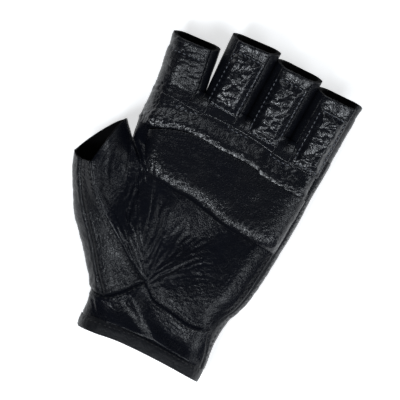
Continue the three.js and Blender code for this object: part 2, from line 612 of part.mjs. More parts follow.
// Share of a stall's width where its palm panel ends next to a fourchette.
function seamShare(stall) {
  const width = stall.rootRight - stall.rootLeft;
  return (FINGER_ROUND * (1 - FOURCHETTE_COVER)) / width;
}
stalls.forEach((stall, i) => {
  const gap = SEAM_GAP / (stall.rootRight - stall.rootLeft);
  const seam = seamShare(stall) + gap;
  const from = i === 0 ? 0 : seam;
  const to = i === 3 ? 1 : 1 - seam;
  const ease = i === 0 ? easeStart : i === 3 ? easeEnd : (t) => t;
  add(`${stall.name}_palm`,
    leatherSheet(stallPlan(stall, from, to, 1), 8, 4, 1, ease), leather());
  add(`${stall.name}_back`,
    leatherSheet(stallPlan(stall, from, to, -1), 8, 4, -1, ease), leather());
  if (stall.padded) {
    const padPlan = stallPlan(stall, seam + 0.08, 1 - seam - 0.08, 1);
    const padSkin = onSkin((u, v) => padPlan(u, lerp(0.12, 1 - PAD_END / stall.length, v)), 1);
    const [top, under] = [-LEATHER - LAYER_GAP, -LEATHER - LAYER_GAP - PAD];
    add(`${stall.name}_pad`, sheet(padSkin, 5, 4, thick(top), thick(under)), foam());
  }
  if (i > 0) add(`${stall.name}_thumbside_fourchette`, fourchette(stall, -1), leather());
  if (i < 3) add(`${stall.name}_outer_fourchette`, fourchette(stall, 1), leather());
});

// ---- Thumb --------------------------------------------------------------------------------
const thumbFoldTop = -SEAM_GAP - foldClearTop;
const openEdge = straight(seamStretch(0, 0, RIDGE_GAP)(0), thumbOpenInner);
const thumbPalmPlan = coons(
  straight(seamStretch(seamSplit - 0.05, 1, RIDGE_GAP)(0), onFold(0.93, thumbFoldTop)),
  openEdge, seamStretch(seamSplit - 0.05, 0, RIDGE_GAP),
  through(onFold(0.93, thumbFoldTop), thumbCrotch.clone().add(point(-2.6, 1.2)), thumbOpenInner));
add("thumb_palm", leatherSheet(thumbPalmPlan, 8, 8, 1, easeEnd), leather());

const TURN = 0.3; // share of the side panel's inner edge that runs along the fold
const sideSeamEdge = seamStretch(seamSplit - 0.06, 0, -RIDGE_GAP);
const sideFoldEdge = straight(onFold(0.2, thumbFoldTop), sideSeamEdge(0));
const thumbSidePlan = coons(
  straight(onThumb(10, 0.25), onFold(0.2, thumbFoldTop)),
  straight(thumbOpenOuter, sideSeamEdge(1)),
  (t) => thumbEdge.getPoint(lerp(0.12, 1, t)).clone(),
  (t) => (t < TURN ? sideFoldEdge(t / TURN) : sideSeamEdge((t - TURN) / (1 - TURN))));
add("thumb_side_panel", leatherSheet(thumbSidePlan, 6, 9, 1, easeStart), leather());

const thumbBackPlan = coons(
  straight(onThumb(8, 0.2), onFold(0.12, -SEAM_GAP)),
  straight(thumbOpenOuter, thumbOpenInner),
  (t) => thumbEdge.getPoint(lerp(0.1, 1, t)).clone(),
  through(onFold(0.12, -SEAM_GAP), onFold(0.5, -SEAM_GAP), onFold(0.93, -SEAM_GAP), thumbOpenInner));
add("thumb_back", leatherSheet(thumbBackPlan, 10, 9, -1, easeBoth), leather());

// ---- Place the part: origin under the middle of its outline, resting on z = 0 ----------------
const bounds = new THREE.Box3().setFromObject(glove);
const centre = bounds.getCenter(new THREE.Vector3());
glove.position.set(-centre.x, -centre.y, -bounds.min.z);

export default glove;
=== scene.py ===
import math
import random

import bpy
import numpy as np
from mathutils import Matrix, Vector


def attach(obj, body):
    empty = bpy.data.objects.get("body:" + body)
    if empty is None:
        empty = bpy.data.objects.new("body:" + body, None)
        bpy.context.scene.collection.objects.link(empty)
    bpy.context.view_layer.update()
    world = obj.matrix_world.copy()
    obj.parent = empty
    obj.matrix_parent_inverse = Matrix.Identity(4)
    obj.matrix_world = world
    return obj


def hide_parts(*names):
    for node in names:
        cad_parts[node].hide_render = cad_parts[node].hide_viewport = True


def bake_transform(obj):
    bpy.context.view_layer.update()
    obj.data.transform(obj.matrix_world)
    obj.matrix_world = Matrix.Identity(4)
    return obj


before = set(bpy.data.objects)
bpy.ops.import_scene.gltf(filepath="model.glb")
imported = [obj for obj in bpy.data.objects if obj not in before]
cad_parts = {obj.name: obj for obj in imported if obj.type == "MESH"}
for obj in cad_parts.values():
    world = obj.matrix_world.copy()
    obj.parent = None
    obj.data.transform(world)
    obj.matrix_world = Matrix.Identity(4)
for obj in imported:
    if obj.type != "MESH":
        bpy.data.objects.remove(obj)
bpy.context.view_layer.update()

# A left-hand half-finger leather glove lying on the back of the hand, palm up.
# Plan sizes are in millimetres: X across the palm to the little finger, Y from the cuff to the
# fingers. The frame's origin lies under the middle of the outline.
FRAME_X = 12.675
FRAME_Y = -85.979
MM = 0.001

CELL = 0.62  # side of a leather cell, so that creases and puckers are in the mesh
LEATHER = 1.1
HEM = 1.5
STITCH = 2.7  # from one stitch to the next

PALM_DEPTH = 26.6
FINGER_DEPTH = 20.0
TIP_DEPTH = 17.2
CURL = math.tan(math.radians(10))
WEB_Y = 139.0
WEBS = (-28.6, -2.6, 23.4)
PALM_ROUND = 15.0
FINGER_ROUND = 10.5
THUMB_RISE = 14.0


def metres(points):
    return (np.asarray(points, float) + (FRAME_X, FRAME_Y, 0.0)) * MM


def smooth(value, low, high):
    t = np.clip((value - low) / (high - low), 0.0, 1.0)
    return t * t * (3 - 2 * t)


# ---- Curves in plan -------------------------------------------------------------------------
def curve(*points, per=24):
    """A smooth curve through points."""
    p = np.array(points, float)
    if len(p) == 2:
        return p
    out = []
    for i in range(len(p) - 1):
        before, after = p[max(i - 1, 0)], p[min(i + 2, len(p) - 1)]
        v0, v1 = (p[i + 1] - before) / 2, (after - p[i]) / 2
        for k in range(per):
            t = k / per
            out.append(
                (2 * p[i] - 2 * p[i + 1] + v0 + v1) * t**3
                + (3 * p[i + 1] - 3 * p[i] - 2 * v0 - v1) * t**2
                + v0 * t
                + p[i]
            )
    out.append(p[-1])
    return np.array(out)


def measure(line):
    return np.concatenate([[0.0], np.cumsum(np.linalg.norm(np.diff(line, axis=0), axis=1))])


def along(line, shares):
    """Points at shares of a curve's length."""
    run = measure(line)
    return np.stack([np.interp(np.asarray(shares) * run[-1], run, line[:, k]) for k in range(line.shape[1])], 1)


def shares(count):
    return np.linspace(0, 1, count)


def even(line, cells):
    return along(line, shares(cells + 1))


def level(line, x):
    """Height of a line that runs from left to right, at x."""
    return np.interp(x, line[:, 0], line[:, 1])


def joined(*lines):
    """Sampled stretches of one boundary, end to end."""
    return np.concatenate([lines[0]] + [l[1:] for l in lines[1:]])


def at_height(line, y):
    """The point of a rising curve at height y."""
    order = np.argsort(line[:, 1], kind="stable")
    return np.array([np.interp(y, line[order, 1], line[order, 0]), y])


def between(line, low, high):
    """The stretch of a rising curve between two heights."""
    inside = line[(line[:, 1] > low) & (line[:, 1] < high)]
    return np.concatenate([[at_height(line, low)], inside, [at_height(line, high)]])


# ---- Outline ----------------------------------------------------------------------------------
right_edge = curve((41.6, -12), (42.1, 2), (41.4, 14), (40.4, 26), (41.4, 36), (44.2, 44), (46.4, 55),
                   (47.7, 72), (48.6, 90), (49.1, 108), (49.1, 139), (49.3, 160), (49.4, 215))
cuff_edge = curve((-29.4, -12), (-30.4, 2), (-30.9, 10), (-32.6, 16.5))
pinch = np.array((-32.6, 16.5))
thumb_outer = np.array((-75.5, 78.4))
thumb_inner = np.array((-58.6, 106.8))
thumb_ridge = np.array((-63.9, 77.0))
crotch = np.array((-51.6, 99.2))
cross = np.array((-8.5, 34.5))
thumb_edge = curve(pinch, (-40.5, 26.6), (-52.5, 40.2), (-60.2, 48.4), (-66.2, 59), (-72.0, 69.5), thumb_outer)
index_edge = curve(crotch, (-53.6, 111), (-54.8, 128), (-55.6, 139), (-57.6, 150), (-58.9, 161), (-62, 190))
thumb_way = np.array((-0.579, 0.815))

FINGERS = {
    # left and right side at the web and at the opening, and the opening's height on each side
    "index": dict(root=(-55.6, -29.0), tip=(-58.7, -33.2), end=(160.2, 162.8)),
    "middle": dict(root=(-28.2, -3.0), tip=(-30.0, -3.6), end=(173.8, 176.2)),
    "ring": dict(root=(-2.2, 23.0), tip=(-2.0, 23.2), end=(173.0, 173.8)),
    "little": dict(root=(23.8, 49.1), tip=(24.2, 49.4), end=(170.2, 171.4)),
}


def side_x(name, y, side):
    """A stall's left (0) or right (1) side at height y."""
    f = FINGERS[name]
    run = (y - WEB_Y) / (f["end"][side] - WEB_Y)
    return f["root"][side] + (f["tip"][side] - f["root"][side]) * run


def outline():
    lines = [right_edge, cuff_edge, thumb_edge, index_edge]
    lines.append(np.array([thumb_outer, thumb_outer + 30 * thumb_way]))
    lines.append(np.array([crotch, thumb_inner, thumb_inner + 30 * thumb_way]))
    for k, web in enumerate(WEBS):
        left, right = list(FINGERS)[k], list(FINGERS)[k + 1]
        top = WEB_Y + 70
        lines.append(np.array([(web, WEB_Y), (side_x(left, top, 1), top)]))
        lines.append(np.array([(web, WEB_Y), (side_x(right, top, 0), top)]))
    return lines


SIDES = outline()


def nearest(lines, points, want_run=False):
    """Distance from each point to a set of polylines, and the run along the nearest one."""
    a = np.concatenate([l[:-1] for l in lines])
    d = np.concatenate([np.diff(l, axis=0) for l in lines])
    starts = np.concatenate([measure(l)[:-1] for l in lines])
    size = np.maximum((d**2).sum(1), 1e-12)
    best = np.empty(len(points))
    run = np.empty(len(points))
    step = max(1, 2_000_000 // len(a))
    for i in range(0, len(points), step):
        rel = points[i : i + step, None, :] - a[None]
        t = np.clip((rel * d).sum(2) / size, 0, 1)
        off = ((rel - t[..., None] * d) ** 2).sum(2)
        k = off.argmin(1)
        rows = np.arange(len(k))
        best[i : i + step] = np.sqrt(off[rows, k])
        run[i : i + step] = starts[k] + t[rows, k] * np.sqrt(size[k])
    return (best, run) if want_run else best


# ---- The filled-out shape -----------------------------------------------------------------
thumb_seam = curve(cross, (-12.5, 36.3), (-20, 40.2), (-30, 46.8), (-40, 53.6), (-50, 61.1), (-58.0, 69.0),
    thumb_ridge)
fold_way = (crotch - pinch) / np.linalg.norm(crotch - pinch)


def finger_share(y):
    return smooth(y, WEB_Y - 39, WEB_Y - 4)


def middle(x, y):
    run = np.maximum(0, (x - pinch[0]) * thumb_way[0] + (y - pinch[1]) * thumb_way[1])
    past = (x - crotch[0]) * thumb_way[1] - (y - crotch[1]) * thumb_way[0]
    over = (y - pinch[1]) * fold_way[0] - (x - pinch[0]) * fold_way[1]
    thumb = smooth(over, -6, 12) * smooth(y, 16, 46) * (1 - smooth(past, 0, 12))
    share = finger_share(y)
    knuckle = (PALM_DEPTH / 2 + 0.2) * (1 - share) + (FINGER_DEPTH / 2 + 1.8) * share
    return knuckle + np.maximum(0, y - WEB_Y + 4) * CURL + THUMB_RISE * (run / 84) ** 2 * thumb


def half_depth(y):
    tip = smooth(y, WEB_Y, WEB_Y + 36)
    finger = (FINGER_DEPTH * (1 - tip) + TIP_DEPTH * tip) / 2
    share = finger_share(y)
    tuck = 1.6 * np.exp(-(((y - 16) / 7) ** 2))
    return PALM_DEPTH / 2 * (1 - share) + finger * share - tuck


def hill(x, y, cx, cy, sx, sy):
    return np.exp(-(((x - cx) / sx) ** 2) - ((y - cy) / sy) ** 2)


def relief(x, y):
    """Mounds and hollow of the palm, and the ridge along the thumb's seam."""
    run = (x - cross[0]) * thumb_way[0] + (y - cross[1]) * thumb_way[1]
    seam = nearest([thumb_seam], np.stack([x, y], 1))
    ridge = np.maximum(0, 1 - seam / 13) ** 2 * smooth(run, 0, 62)
    return (
        3.0 * hill(x, y, -29, 54, 15, 19)
        + 1.6 * hill(x, y, 27, 52, 16, 22)
        - 2.4 * hill(x, y, -1, 64, 15, 17)
        + 5.2 * ridge
        - 1.0 * hill(x, y, -1, 29, 8, 5)
        - 0.8 * hill(x, y, 13, 25, 13, 5)
    )


def skin(x, y, side):
    """Height of the outer surface on the palm (side 1) or the back (side -1)."""
    x, y, side = (np.ravel(v).astype(float) for v in np.broadcast_arrays(x, y, side))
    share = finger_share(y)
    rounding = PALM_ROUND * (1 - share) + FINGER_ROUND * share
    inward = np.minimum(1, nearest(SIDES, np.stack([x, y], 1)) / rounding)
    profile = np.sqrt(np.maximum(0, 1 - (1 - inward) ** 2))
    lift = np.where(side > 0, relief(x, y) * smooth(inward, 0, 1), 0)
    return middle(x, y) + side * (half_depth(y) * profile + lift)


def on_skin(line, side=1, lift=0.0):
    line = np.asarray(line, float)
    return np.column_stack([line, skin(line[:, 0], line[:, 1], side) + lift])


# ---- Grids ------------------------------------------------------------------------------------
def ease(cells, start=False, end=False):
    """Shares of a width, closer together where the surface turns down to the glove's side."""
    t = shares(cells + 1)
    if start and end:
        return (1 - np.cos(np.pi * t)) / 2
    if start:
        return 1 - np.cos(np.pi * t / 2)
    if end:
        return np.sin(np.pi * t / 2)
    return t


def patch(bottom, top, left, right, us, side=1):
    """A grid between four boundaries; left and right hold one point per row."""
    b, t = along(bottom, us), along(top, us)
    rise = shares(len(left))
    if len(left) > 2:
        run = measure(left) + measure(right)
        rise = run / run[-1]
    v, u = rise[:, None, None], np.asarray(us)[None, :, None]
    plan = (
        b[None] * (1 - v) + t[None] * v + left[:, None] * (1 - u) + right[:, None] * u
        - b[0] * (1 - u) * (1 - v) - b[-1] * u * (1 - v) - t[0] * (1 - u) * v - t[-1] * u * v
    )
    rows, columns = plan.shape[:2]
    z = skin(plan[..., 0], plan[..., 1], side).reshape(rows, columns)
    return dict(points=np.concatenate([plan, z[..., None]], 2), side=side)


def cells_for(line, cell=CELL):
    return max(2, int(round(measure(np.asarray(line))[-1] / cell)))


class Sheet:
    """Grids welded along the boundaries they share, with a normal at each point."""

    def __init__(self, *grids, flip=False, loop=False):
        points, faces, base = [], [], 0
        for g in grids:
            p = g["points"]
            rows, columns = p.shape[:2]
            index = base + np.arange(rows * columns).reshape(rows, columns)
            if loop:
                index = np.concatenate([index, index[:, :1]], 1)
            quad = np.stack([index[:-1, :-1], index[:-1, 1:], index[1:, 1:], index[1:, :-1]], 2).reshape(-1, 4)
            if (g["side"] < 0) != flip:
                quad = quad[:, ::-1]
            points.append(p.reshape(-1, 3))
            faces.append(quad)
            base += rows * columns
        points, faces = np.concatenate(points), np.concatenate(faces)
        key = np.round(points * 500).astype(np.int64)
        _, first, inverse = np.unique(key, axis=0, return_index=True, return_inverse=True)
        self.points = points[first]
        faces = inverse.reshape(-1)[faces]
        good = np.array([len(set(f)) >= 3 for f in faces.tolist()])
        self.faces = faces[good]
        self.normals = self.find_normals(self.points)

    def find_normals(self, points):
        f = self.faces
        cross_ = np.cross(points[f[:, 2]] - points[f[:, 0]], points[f[:, 3]] - points[f[:, 1]])
        n = np.zeros_like(points)
        for k in range(4):
            np.add.at(n, f[:, k], cross_)
        return n / np.maximum(np.linalg.norm(n, axis=1, keepdims=True), 1e-12)

    def rim(self):
        """Directed boundary edges."""
        edges = {}
        for face in self.faces.tolist():
            ring = [v for i, v in enumerate(face) if v != face[i - 1]]
            for i, v in enumerate(ring):
                edges[(ring[i - 1], v)] = True
        return [e for e in edges if (e[1], e[0]) not in edges]


def build(name, sheet, offsets, thickness=LEATHER):
    """A closed leather piece: its outer face stands off the sheet by offsets."""
    outer = sheet.points + sheet.normals * offsets[:, None]
    inner = sheet.points - sheet.normals * np.broadcast_to(thickness, len(outer))[:, None]
    outer[:, 2] = np.maximum(outer[:, 2], 0.0)  # the back lies flat where it rests on the table
    n = len(outer)
    faces = [[v for i, v in enumerate(face) if v != face[i - 1]] for face in sheet.faces.tolist()]
    shown = len(faces)
    faces += [[v + n for v in reversed(ring)] for ring in faces]
    faces += [[b, a, a + n, b + n] for a, b in sheet.rim()]
    mesh = bpy.data.meshes.new(name)
    mesh.from_pydata(metres(np.concatenate([outer, inner])).tolist(), [], faces)
    mesh.polygons.foreach_set("material_index", [0] * shown + [1] * (len(mesh.polygons) - shown))
    mesh.shade_smooth()
    mesh.polygons.foreach_set("use_smooth", [True] * (2 * shown) + [False] * (len(mesh.polygons) - 2 * shown))
    mesh.validate()
    mesh.update()
    piece = bpy.data.objects.new(name, mesh)
    bpy.context.scene.collection.objects.link(piece)
    return piece


# ---- Creases and crumples ------------------------------------------------------------------
def scatter(ix, iy, seed):
    """Two even random numbers for each whole cell."""
    h = (ix.astype(np.int64) * 73856093) ^ (iy.astype(np.int64) * 19349663) ^ (seed * 83492791)
    out = []
    for salt in (0x9E3779B1, 0x85EBCA77):
        k = (h * salt) & 0xFFFFFFFF
        k = ((k ^ (k >> 15)) * 0x2C1B3C6D) & 0xFFFFFFFF
        k = ((k ^ (k >> 12)) * 0x297A2D39) & 0xFFFFFFFF
        k = k ^ (k >> 15)
        out.append(k / 4294967296.0)
    return out


def swell(x, y, seed):
    """Smooth noise from -1 to 1."""
    ix, iy = np.floor(x), np.floor(y)
    fx, fy = x - ix, y - iy
    total = 0
    ux, uy = fx * fx * (3 - 2 * fx), fy * fy * (3 - 2 * fy)
    for dx in (0, 1):
        for dy in (0, 1):
            angle = scatter(ix + dx, iy + dy, seed)[0] * 2 * np.pi
            slope = np.cos(angle) * (fx - dx) + np.sin(angle) * (fy - dy)
            total = total + slope * (ux if dx else 1 - ux) * (uy if dy else 1 - uy)
    return total * 1.5


def folds(x, y, seed):
    """0 along a net of creases, rising between them."""
    ix, iy = np.floor(x), np.floor(y)
    near = np.full(len(x), 9.0)
    second = np.full(len(x), 9.0)
    for dx in (-1, 0, 1):
        for dy in (-1, 0, 1):
            a, b = scatter(ix + dx, iy + dy, seed)
            d = np.hypot(ix + dx + a - x, iy + dy + b - y)
            second = np.minimum(np.maximum(near, d), second)
            near = np.minimum(near, d)
    return second - near


def crumple(x, y, seed, wide=5.0, tall=3.2, turn=0.35):
    """Soft crumpled leather: puffs parted by creases, about -0.5 to 0.5 high."""
    c, s = math.cos(turn), math.sin(turn)
    u, v = (x * c + y * s) / wide, (y * c - x * s) / tall
    u2 = u + 0.45 * swell(u * 0.8, v * 0.8, seed)
    v2 = v + 0.45 * swell(u * 0.8, v * 0.8, seed + 1)
    large = 1 - np.exp(-3.0 * folds(u2, v2, seed + 2))
    small = 1 - np.exp(-3.0 * folds(u2 * 2.3, v2 * 2.1, seed + 3))
    strength = 0.6 + 0.5 * swell(x / 9, y / 9, seed + 4)
    return (large - 0.5) * strength + 0.24 * (small - 0.5) * (1 - 0.5 * strength)


def stroke(points, line, depth, width, rise=0.5):
    """One crease: a valley that fades out at its ends, with leather pushed up beside it."""
    line = np.asarray(line, float)
    low, high = line.min(0) - 4 * width, line.max(0) + 4 * width
    flat = points[:, :2]
    inside = ((flat > low) & (flat < high)).all(1)
    out = np.zeros(len(points))
    if not inside.any():
        return out
    d, run = nearest([line], flat[inside], True)
    share = run / measure(line)[-1]
    fade = np.sqrt(np.clip(np.sin(np.pi * np.clip(share, 0, 1)), 0, 1))
    out[inside] = fade * (-depth * np.exp(-((d / width) ** 2)) + rise * depth
        * np.exp(-(((d - 1.9 * width) / width) ** 2)))
    return out


def seam_tuck(points, lines, drop=0.8, width=0.75):
    """The panel's edge turns down into its seam."""
    d = nearest(lines, points)
    return -drop * np.exp(-((d / width) ** 2)) + 0.22 * drop * np.exp(-(((d - 2.4) / 1.1) ** 2))


def row_pucker(points, line, depth=0.34, width=0.75):
    """A stitched row pulls the leather down, most at each needle hole."""
    d, run = nearest([line], points, True)
    hole = 0.5 + 0.5 * np.cos(2 * np.pi * run / STITCH)
    return -depth * hole * np.exp(-((d / width) ** 2))


def shifted(line, distance):
    """A curve moved sideways in plan, to its left where distance is positive."""
    way = np.gradient(line[:, :2], axis=0)
    way /= np.maximum(np.linalg.norm(way, axis=1, keepdims=True), 1e-9)
    return line[:, :2] + distance * np.column_stack([-way[:, 1], way[:, 0]])


# ---- Leather, thread and elastic ------------------------------------------------------------
def new_group(name, inputs, outputs):
    group = bpy.data.node_groups.new(name, "ShaderNodeTree")
    for label, kind, value in inputs:
        socket = group.interface.new_socket(name=label, in_out="INPUT", socket_type=kind)
        if value is not None:
            socket.default_value = value
    for label, kind in outputs:
        group.interface.new_socket(name=label, in_out="OUTPUT", socket_type=kind)
    return group, group.nodes.new("NodeGroupInput"), group.nodes.new("NodeGroupOutput")


def node(tree, kind, **settings):
    """A shader node; a socket among the settings is linked to the input of that name."""
    n = tree.nodes.new(kind)
    for key, value in settings.items():
        if isinstance(value, bpy.types.NodeSocket):
            tree.links.new(value, n.inputs[key])
        elif isinstance(n.inputs.get(key), bpy.types.NodeSocket):
            n.inputs[key].default_value = value
        else:
            setattr(n, key, value)
    return n


def own_place(tree):
    """Position in the piece's own space."""
    return tree.nodes.new("ShaderNodeTexCoord").outputs["Object"]


def maths(tree, operation, a, b=None):
    n = tree.nodes.new("ShaderNodeMath")
    n.operation = operation
    for socket, value in zip(n.inputs, (a, b)):
        if value is None:
            continue
        if isinstance(value, bpy.types.NodeSocket):
            tree.links.new(value, socket)
        else:
            socket.default_value = value
    return n.outputs[0]


def ramp(tree, value, stops):
    n = tree.nodes.new("ShaderNodeValToRGB")
    tree.links.new(value, n.inputs[0])
    while len(n.color_ramp.elements) < len(stops):
        n.color_ramp.elements.new(0.5)
    for element, (place, shade) in zip(n.color_ramp.elements, stops):
        element.position = place
        element.color = (shade, shade, shade, 1) if isinstance(shade, float) else (*shade, 1)
    return n.outputs[0]


def grain_group():
    """Pebbled grain crossed by fine crinkles. Height is from 0 to 1; Pore marks the hollows."""
    g, gin, gout = new_group(
        "leather_grain",
        [("Scale", "NodeSocketFloat", 900.0), ("Creases", "NodeSocketFloat", 0.5)],
        [("Height", "NodeSocketFloat"), ("Pore", "NodeSocketFloat")],
    )
    at = own_place(g)
    warp = node(g, "ShaderNodeTexNoise", Vector=at, Scale=260.0, Detail=3.0)
    shift = node(g, "ShaderNodeVectorMath", operation="MULTIPLY_ADD")
    g.links.new(warp.outputs["Color"], shift.inputs[0])
    shift.inputs[1].default_value = (0.0030, 0.0030, 0.0030)
    g.links.new(at, shift.inputs[2])
    moved, edges = shift.outputs[0], dict(feature="DISTANCE_TO_EDGE")
    pebbles = node(g, "ShaderNodeTexVoronoi", Vector=moved, Scale=gin.outputs["Scale"], **edges)
    pebble = ramp(g, pebbles.outputs["Distance"], [(0.0, 0.0), (0.22, 0.8), (0.5, 1.0)])
    lines = node(g, "ShaderNodeTexVoronoi", Vector=moved, Scale=300.0, **edges)
    line = ramp(g, lines.outputs["Distance"], [(0.0, 0.0), (0.30, 1.0)])
    crinkle = node(g, "ShaderNodeTexNoise", Vector=moved, Scale=520.0, Detail=3.0, Roughness=0.62)
    faint = maths(g, "MULTIPLY", maths(g, "SUBTRACT", 1.0, line), gin.outputs["Creases"])
    height = maths(g, "SUBTRACT", maths(g, "ADD", maths(g, "MULTIPLY", pebble, 0.45), crinkle.outputs["Fac"]),
        faint)
    g.links.new(height, gout.inputs["Height"])
    g.links.new(maths(g, "SUBTRACT", 1.0, pebble), gout.inputs["Pore"])
    return g


def fan_group():
    """Fine wrinkles that spread from a point, faint and broken. Middle is in metres."""
    g, gin, gout = new_group("fan_of_wrinkles",
        [("Middle", "NodeSocketVector", None), ("Count", "NodeSocketFloat", 46.0)],
        [("Height", "NodeSocketFloat")])
    at = own_place(g)
    off = node(g, "ShaderNodeVectorMath", operation="SUBTRACT")
    g.links.new(at, off.inputs[0])
    g.links.new(gin.outputs["Middle"], off.inputs[1])
    split = g.nodes.new("ShaderNodeSeparateXYZ")
    g.links.new(off.outputs[0], split.inputs[0])
    angle = maths(g, "ARCTAN2", split.outputs[1], split.outputs[0])
    reach = g.nodes.new("ShaderNodeVectorMath")
    reach.operation = "LENGTH"
    g.links.new(off.outputs[0], reach.inputs[0])
    polar = g.nodes.new("ShaderNodeCombineXYZ")
    g.links.new(maths(g, "MULTIPLY", angle, gin.outputs["Count"]), polar.inputs[0])
    g.links.new(maths(g, "MULTIPLY", reach.outputs["Value"], 150.0), polar.inputs[1])
    folds_ = node(g, "ShaderNodeTexNoise", Vector=polar.outputs[0],
                  Scale=1.0, Detail=3.0, Roughness=0.6, Distortion=0.5)
    g.links.new(folds_.outputs["Fac"], gout.inputs["Height"])
    return g


def wear_group():
    """Slow patches of handling: a mask from 0 to 1."""
    g, gin, gout = new_group("handling_wear", [("Scale", "NodeSocketFloat", 45.0)],
        [("Mask", "NodeSocketFloat")])
    at = own_place(g)
    cloud = node(g, "ShaderNodeTexNoise", Vector=at, Scale=gin.outputs["Scale"], Detail=5.0, Roughness=0.6)
    g.links.new(ramp(g, cloud.outputs["Fac"], [(0.35, 0.0), (0.7, 1.0)]), gout.inputs["Mask"])
    return g


GRAIN, WEAR, FAN = grain_group(), wear_group(), fan_group()


def place_group(tree, group, **values):
    n = tree.nodes.new("ShaderNodeGroup")
    n.node_tree = group
    for key, value in values.items():
        n.inputs[key].default_value = value
    return n


def blank_material(name):
    m = bpy.data.materials.new(name)
    m.use_nodes = True
    return m, m.node_tree, m.node_tree.nodes["Principled BSDF"].inputs


def leather_material(name, dark, light, gloss, dull, shine, grain=900.0, creases=0.5, bump=0.6, fan=None):
    """Dyed leather: dark is its base colour, light where handling has brightened it."""
    m, t, surface = blank_material(name)
    g = place_group(t, GRAIN, Scale=grain, Creases=creases)
    w = place_group(t, WEAR, Scale=60.0)
    unworn = maths(t, "SUBTRACT", 1.0, maths(t, "MULTIPLY", g.outputs["Pore"], 0.6))
    tone = maths(t, "MULTIPLY", w.outputs["Mask"], unworn)
    t.links.new(ramp(t, tone, [(0.0, dark), (1.0, light)]), surface["Base Color"])
    worn = ramp(t, w.outputs["Mask"], [(0.0, dull), (1.0, gloss)])
    rough = maths(t, "ADD", maths(t, "MULTIPLY", g.outputs["Pore"], 0.12), worn)
    t.links.new(rough, surface["Roughness"])
    height = g.outputs["Height"]
    if fan is not None:
        f = place_group(t, FAN, Middle=fan[0], Count=fan[1])
        height = maths(t, "ADD", height, maths(t, "MULTIPLY", f.outputs["Height"], fan[2]))
    relief_ = node(t, "ShaderNodeBump", Height=height, Strength=bump, Distance=0.0003)
    t.links.new(relief_.outputs[0], surface["Normal"])
    surface["Specular IOR Level"].default_value = shine
    return m


def fine_material(name, kind, settings, span, tones, roughs, strength, distance, shine=0.5):
    """A material whose colour, roughness and relief all follow one fine texture."""
    m, t, surface = blank_material(name)
    fine = node(t, kind, Vector=own_place(t), **settings).outputs["Fac"]
    t.links.new(ramp(t, fine, list(zip(span, tones))), surface["Base Color"])
    t.links.new(ramp(t, fine, list(zip(span, roughs))), surface["Roughness"])
    bump = node(t, "ShaderNodeBump", Height=fine, Strength=strength, Distance=distance)
    t.links.new(bump.outputs[0], surface["Normal"])
    surface["Specular IOR Level"].default_value = shine
    return m


def thread_material(name, dark, light):
    return fine_material(name, "ShaderNodeTexNoise", dict(Scale=2600.0, Detail=1.0),
                         (0.3, 0.7), (dark, light), (0.7, 0.5), 0.4, 0.0001)


CROSS_AT = (*metres([(cross[0], cross[1], 26.0)])[0],)
DYED, RUBBED = (0.0026, 0.0031, 0.0052), (0.0048, 0.0056, 0.0092)
PALM_LEATHER = leather_material("black_goat_leather", DYED, RUBBED, 0.15, 0.22, 0.17, bump=0.34,
    fan=(CROSS_AT, 30.0, 1.0))
COVER_LEATHER = leather_material("cover_leather", DYED, RUBBED, 0.15, 0.24, 0.38, bump=0.42)
PAD_LEATHER = leather_material("glossy_pad_leather", (0.0028, 0.0034, 0.0056), (0.0055, 0.0064, 0.0102), 0.14,
    0.22, 0.50, creases=0.45, bump=0.32)
BACK_LEATHER = leather_material("smooth_back_leather", (0.0030, 0.0035, 0.0054), (0.0052, 0.006, 0.009), 0.20,
    0.28, 0.20, bump=0.5)
HEM_LEATHER = leather_material("binding_leather", (0.0026, 0.003, 0.0046), (0.0045, 0.005, 0.0074), 0.28, 0.38,
    0.18, grain=1050.0)
# The rough inner side of the leather, seen in the openings.
FLESH_SIDE = fine_material("flesh_side", "ShaderNodeTexNoise", dict(Scale=1800.0, Detail=3.0), (0.3, 0.7),
                           ((0.0012, 0.0012, 0.0014), (0.003, 0.003, 0.0034)), (1.0, 0.9), 0.4, 0.0002, 0.1)
THREAD = thread_material("waxed_thread", (0.003, 0.003, 0.0036), (0.012, 0.012, 0.014))
# The same waxed thread with a lighter colour, for the rows on the pads, the finger roots and the index: a
# painted sheen.
SHEEN_PAINTED_THREAD = thread_material("thread_with_painted_sheen", (0.07, 0.076, 0.09), (0.16, 0.17, 0.195))
ELASTIC = fine_material("woven_elastic", "ShaderNodeTexWave",
                        dict(bands_direction="Y", Scale=420.0, Distortion=0.6), (0.2, 0.8),
                        ((0.006, 0.006, 0.007), (0.02, 0.02, 0.022)), (0.95, 0.75), 0.5, 0.0003)

# ---- Camera, floor and light ------------------------------------------------------------------
TURN = math.radians(28.6)  # the camera is turned, so that the fingers point up and to its right
centre = metres([(-3.5, 86.9, 12.0)])[0]
camera = bpy.data.objects.new("camera", bpy.data.cameras.new("camera"))
bpy.context.scene.collection.objects.link(camera)
HEIGHT = 1.1
camera.location = (centre[0], centre[1], HEIGHT)
camera.rotation_euler = (0, 0, TURN)
camera.data.sensor_width = 36
camera.data.lens = 36 * (HEIGHT - 0.013) / 0.216
camera.data.clip_start = 0.01
bpy.context.scene.camera = camera

bpy.ops.object.select_all(action="DESELECT")
bpy.ops.mesh.primitive_plane_add(size=2.4, location=(0, 0, -0.0002))
floor = bpy.context.object
floor.name = "floor"
paper = bpy.data.materials.new("white_paper")
paper.use_nodes = True
sheet_surface = paper.node_tree.nodes["Principled BSDF"].inputs
sheet_surface["Base Color"].default_value = (0.9, 0.9, 0.9, 1)
sheet_surface["Roughness"].default_value = 0.9
sheet_surface["Emission Color"].default_value = (1, 1, 1, 1)
sheet_surface["Emission Strength"].default_value = 0.60  # lit from below
floor.data.materials.append(paper)

DAYLIGHT = (0.90, 0.95, 1.0)


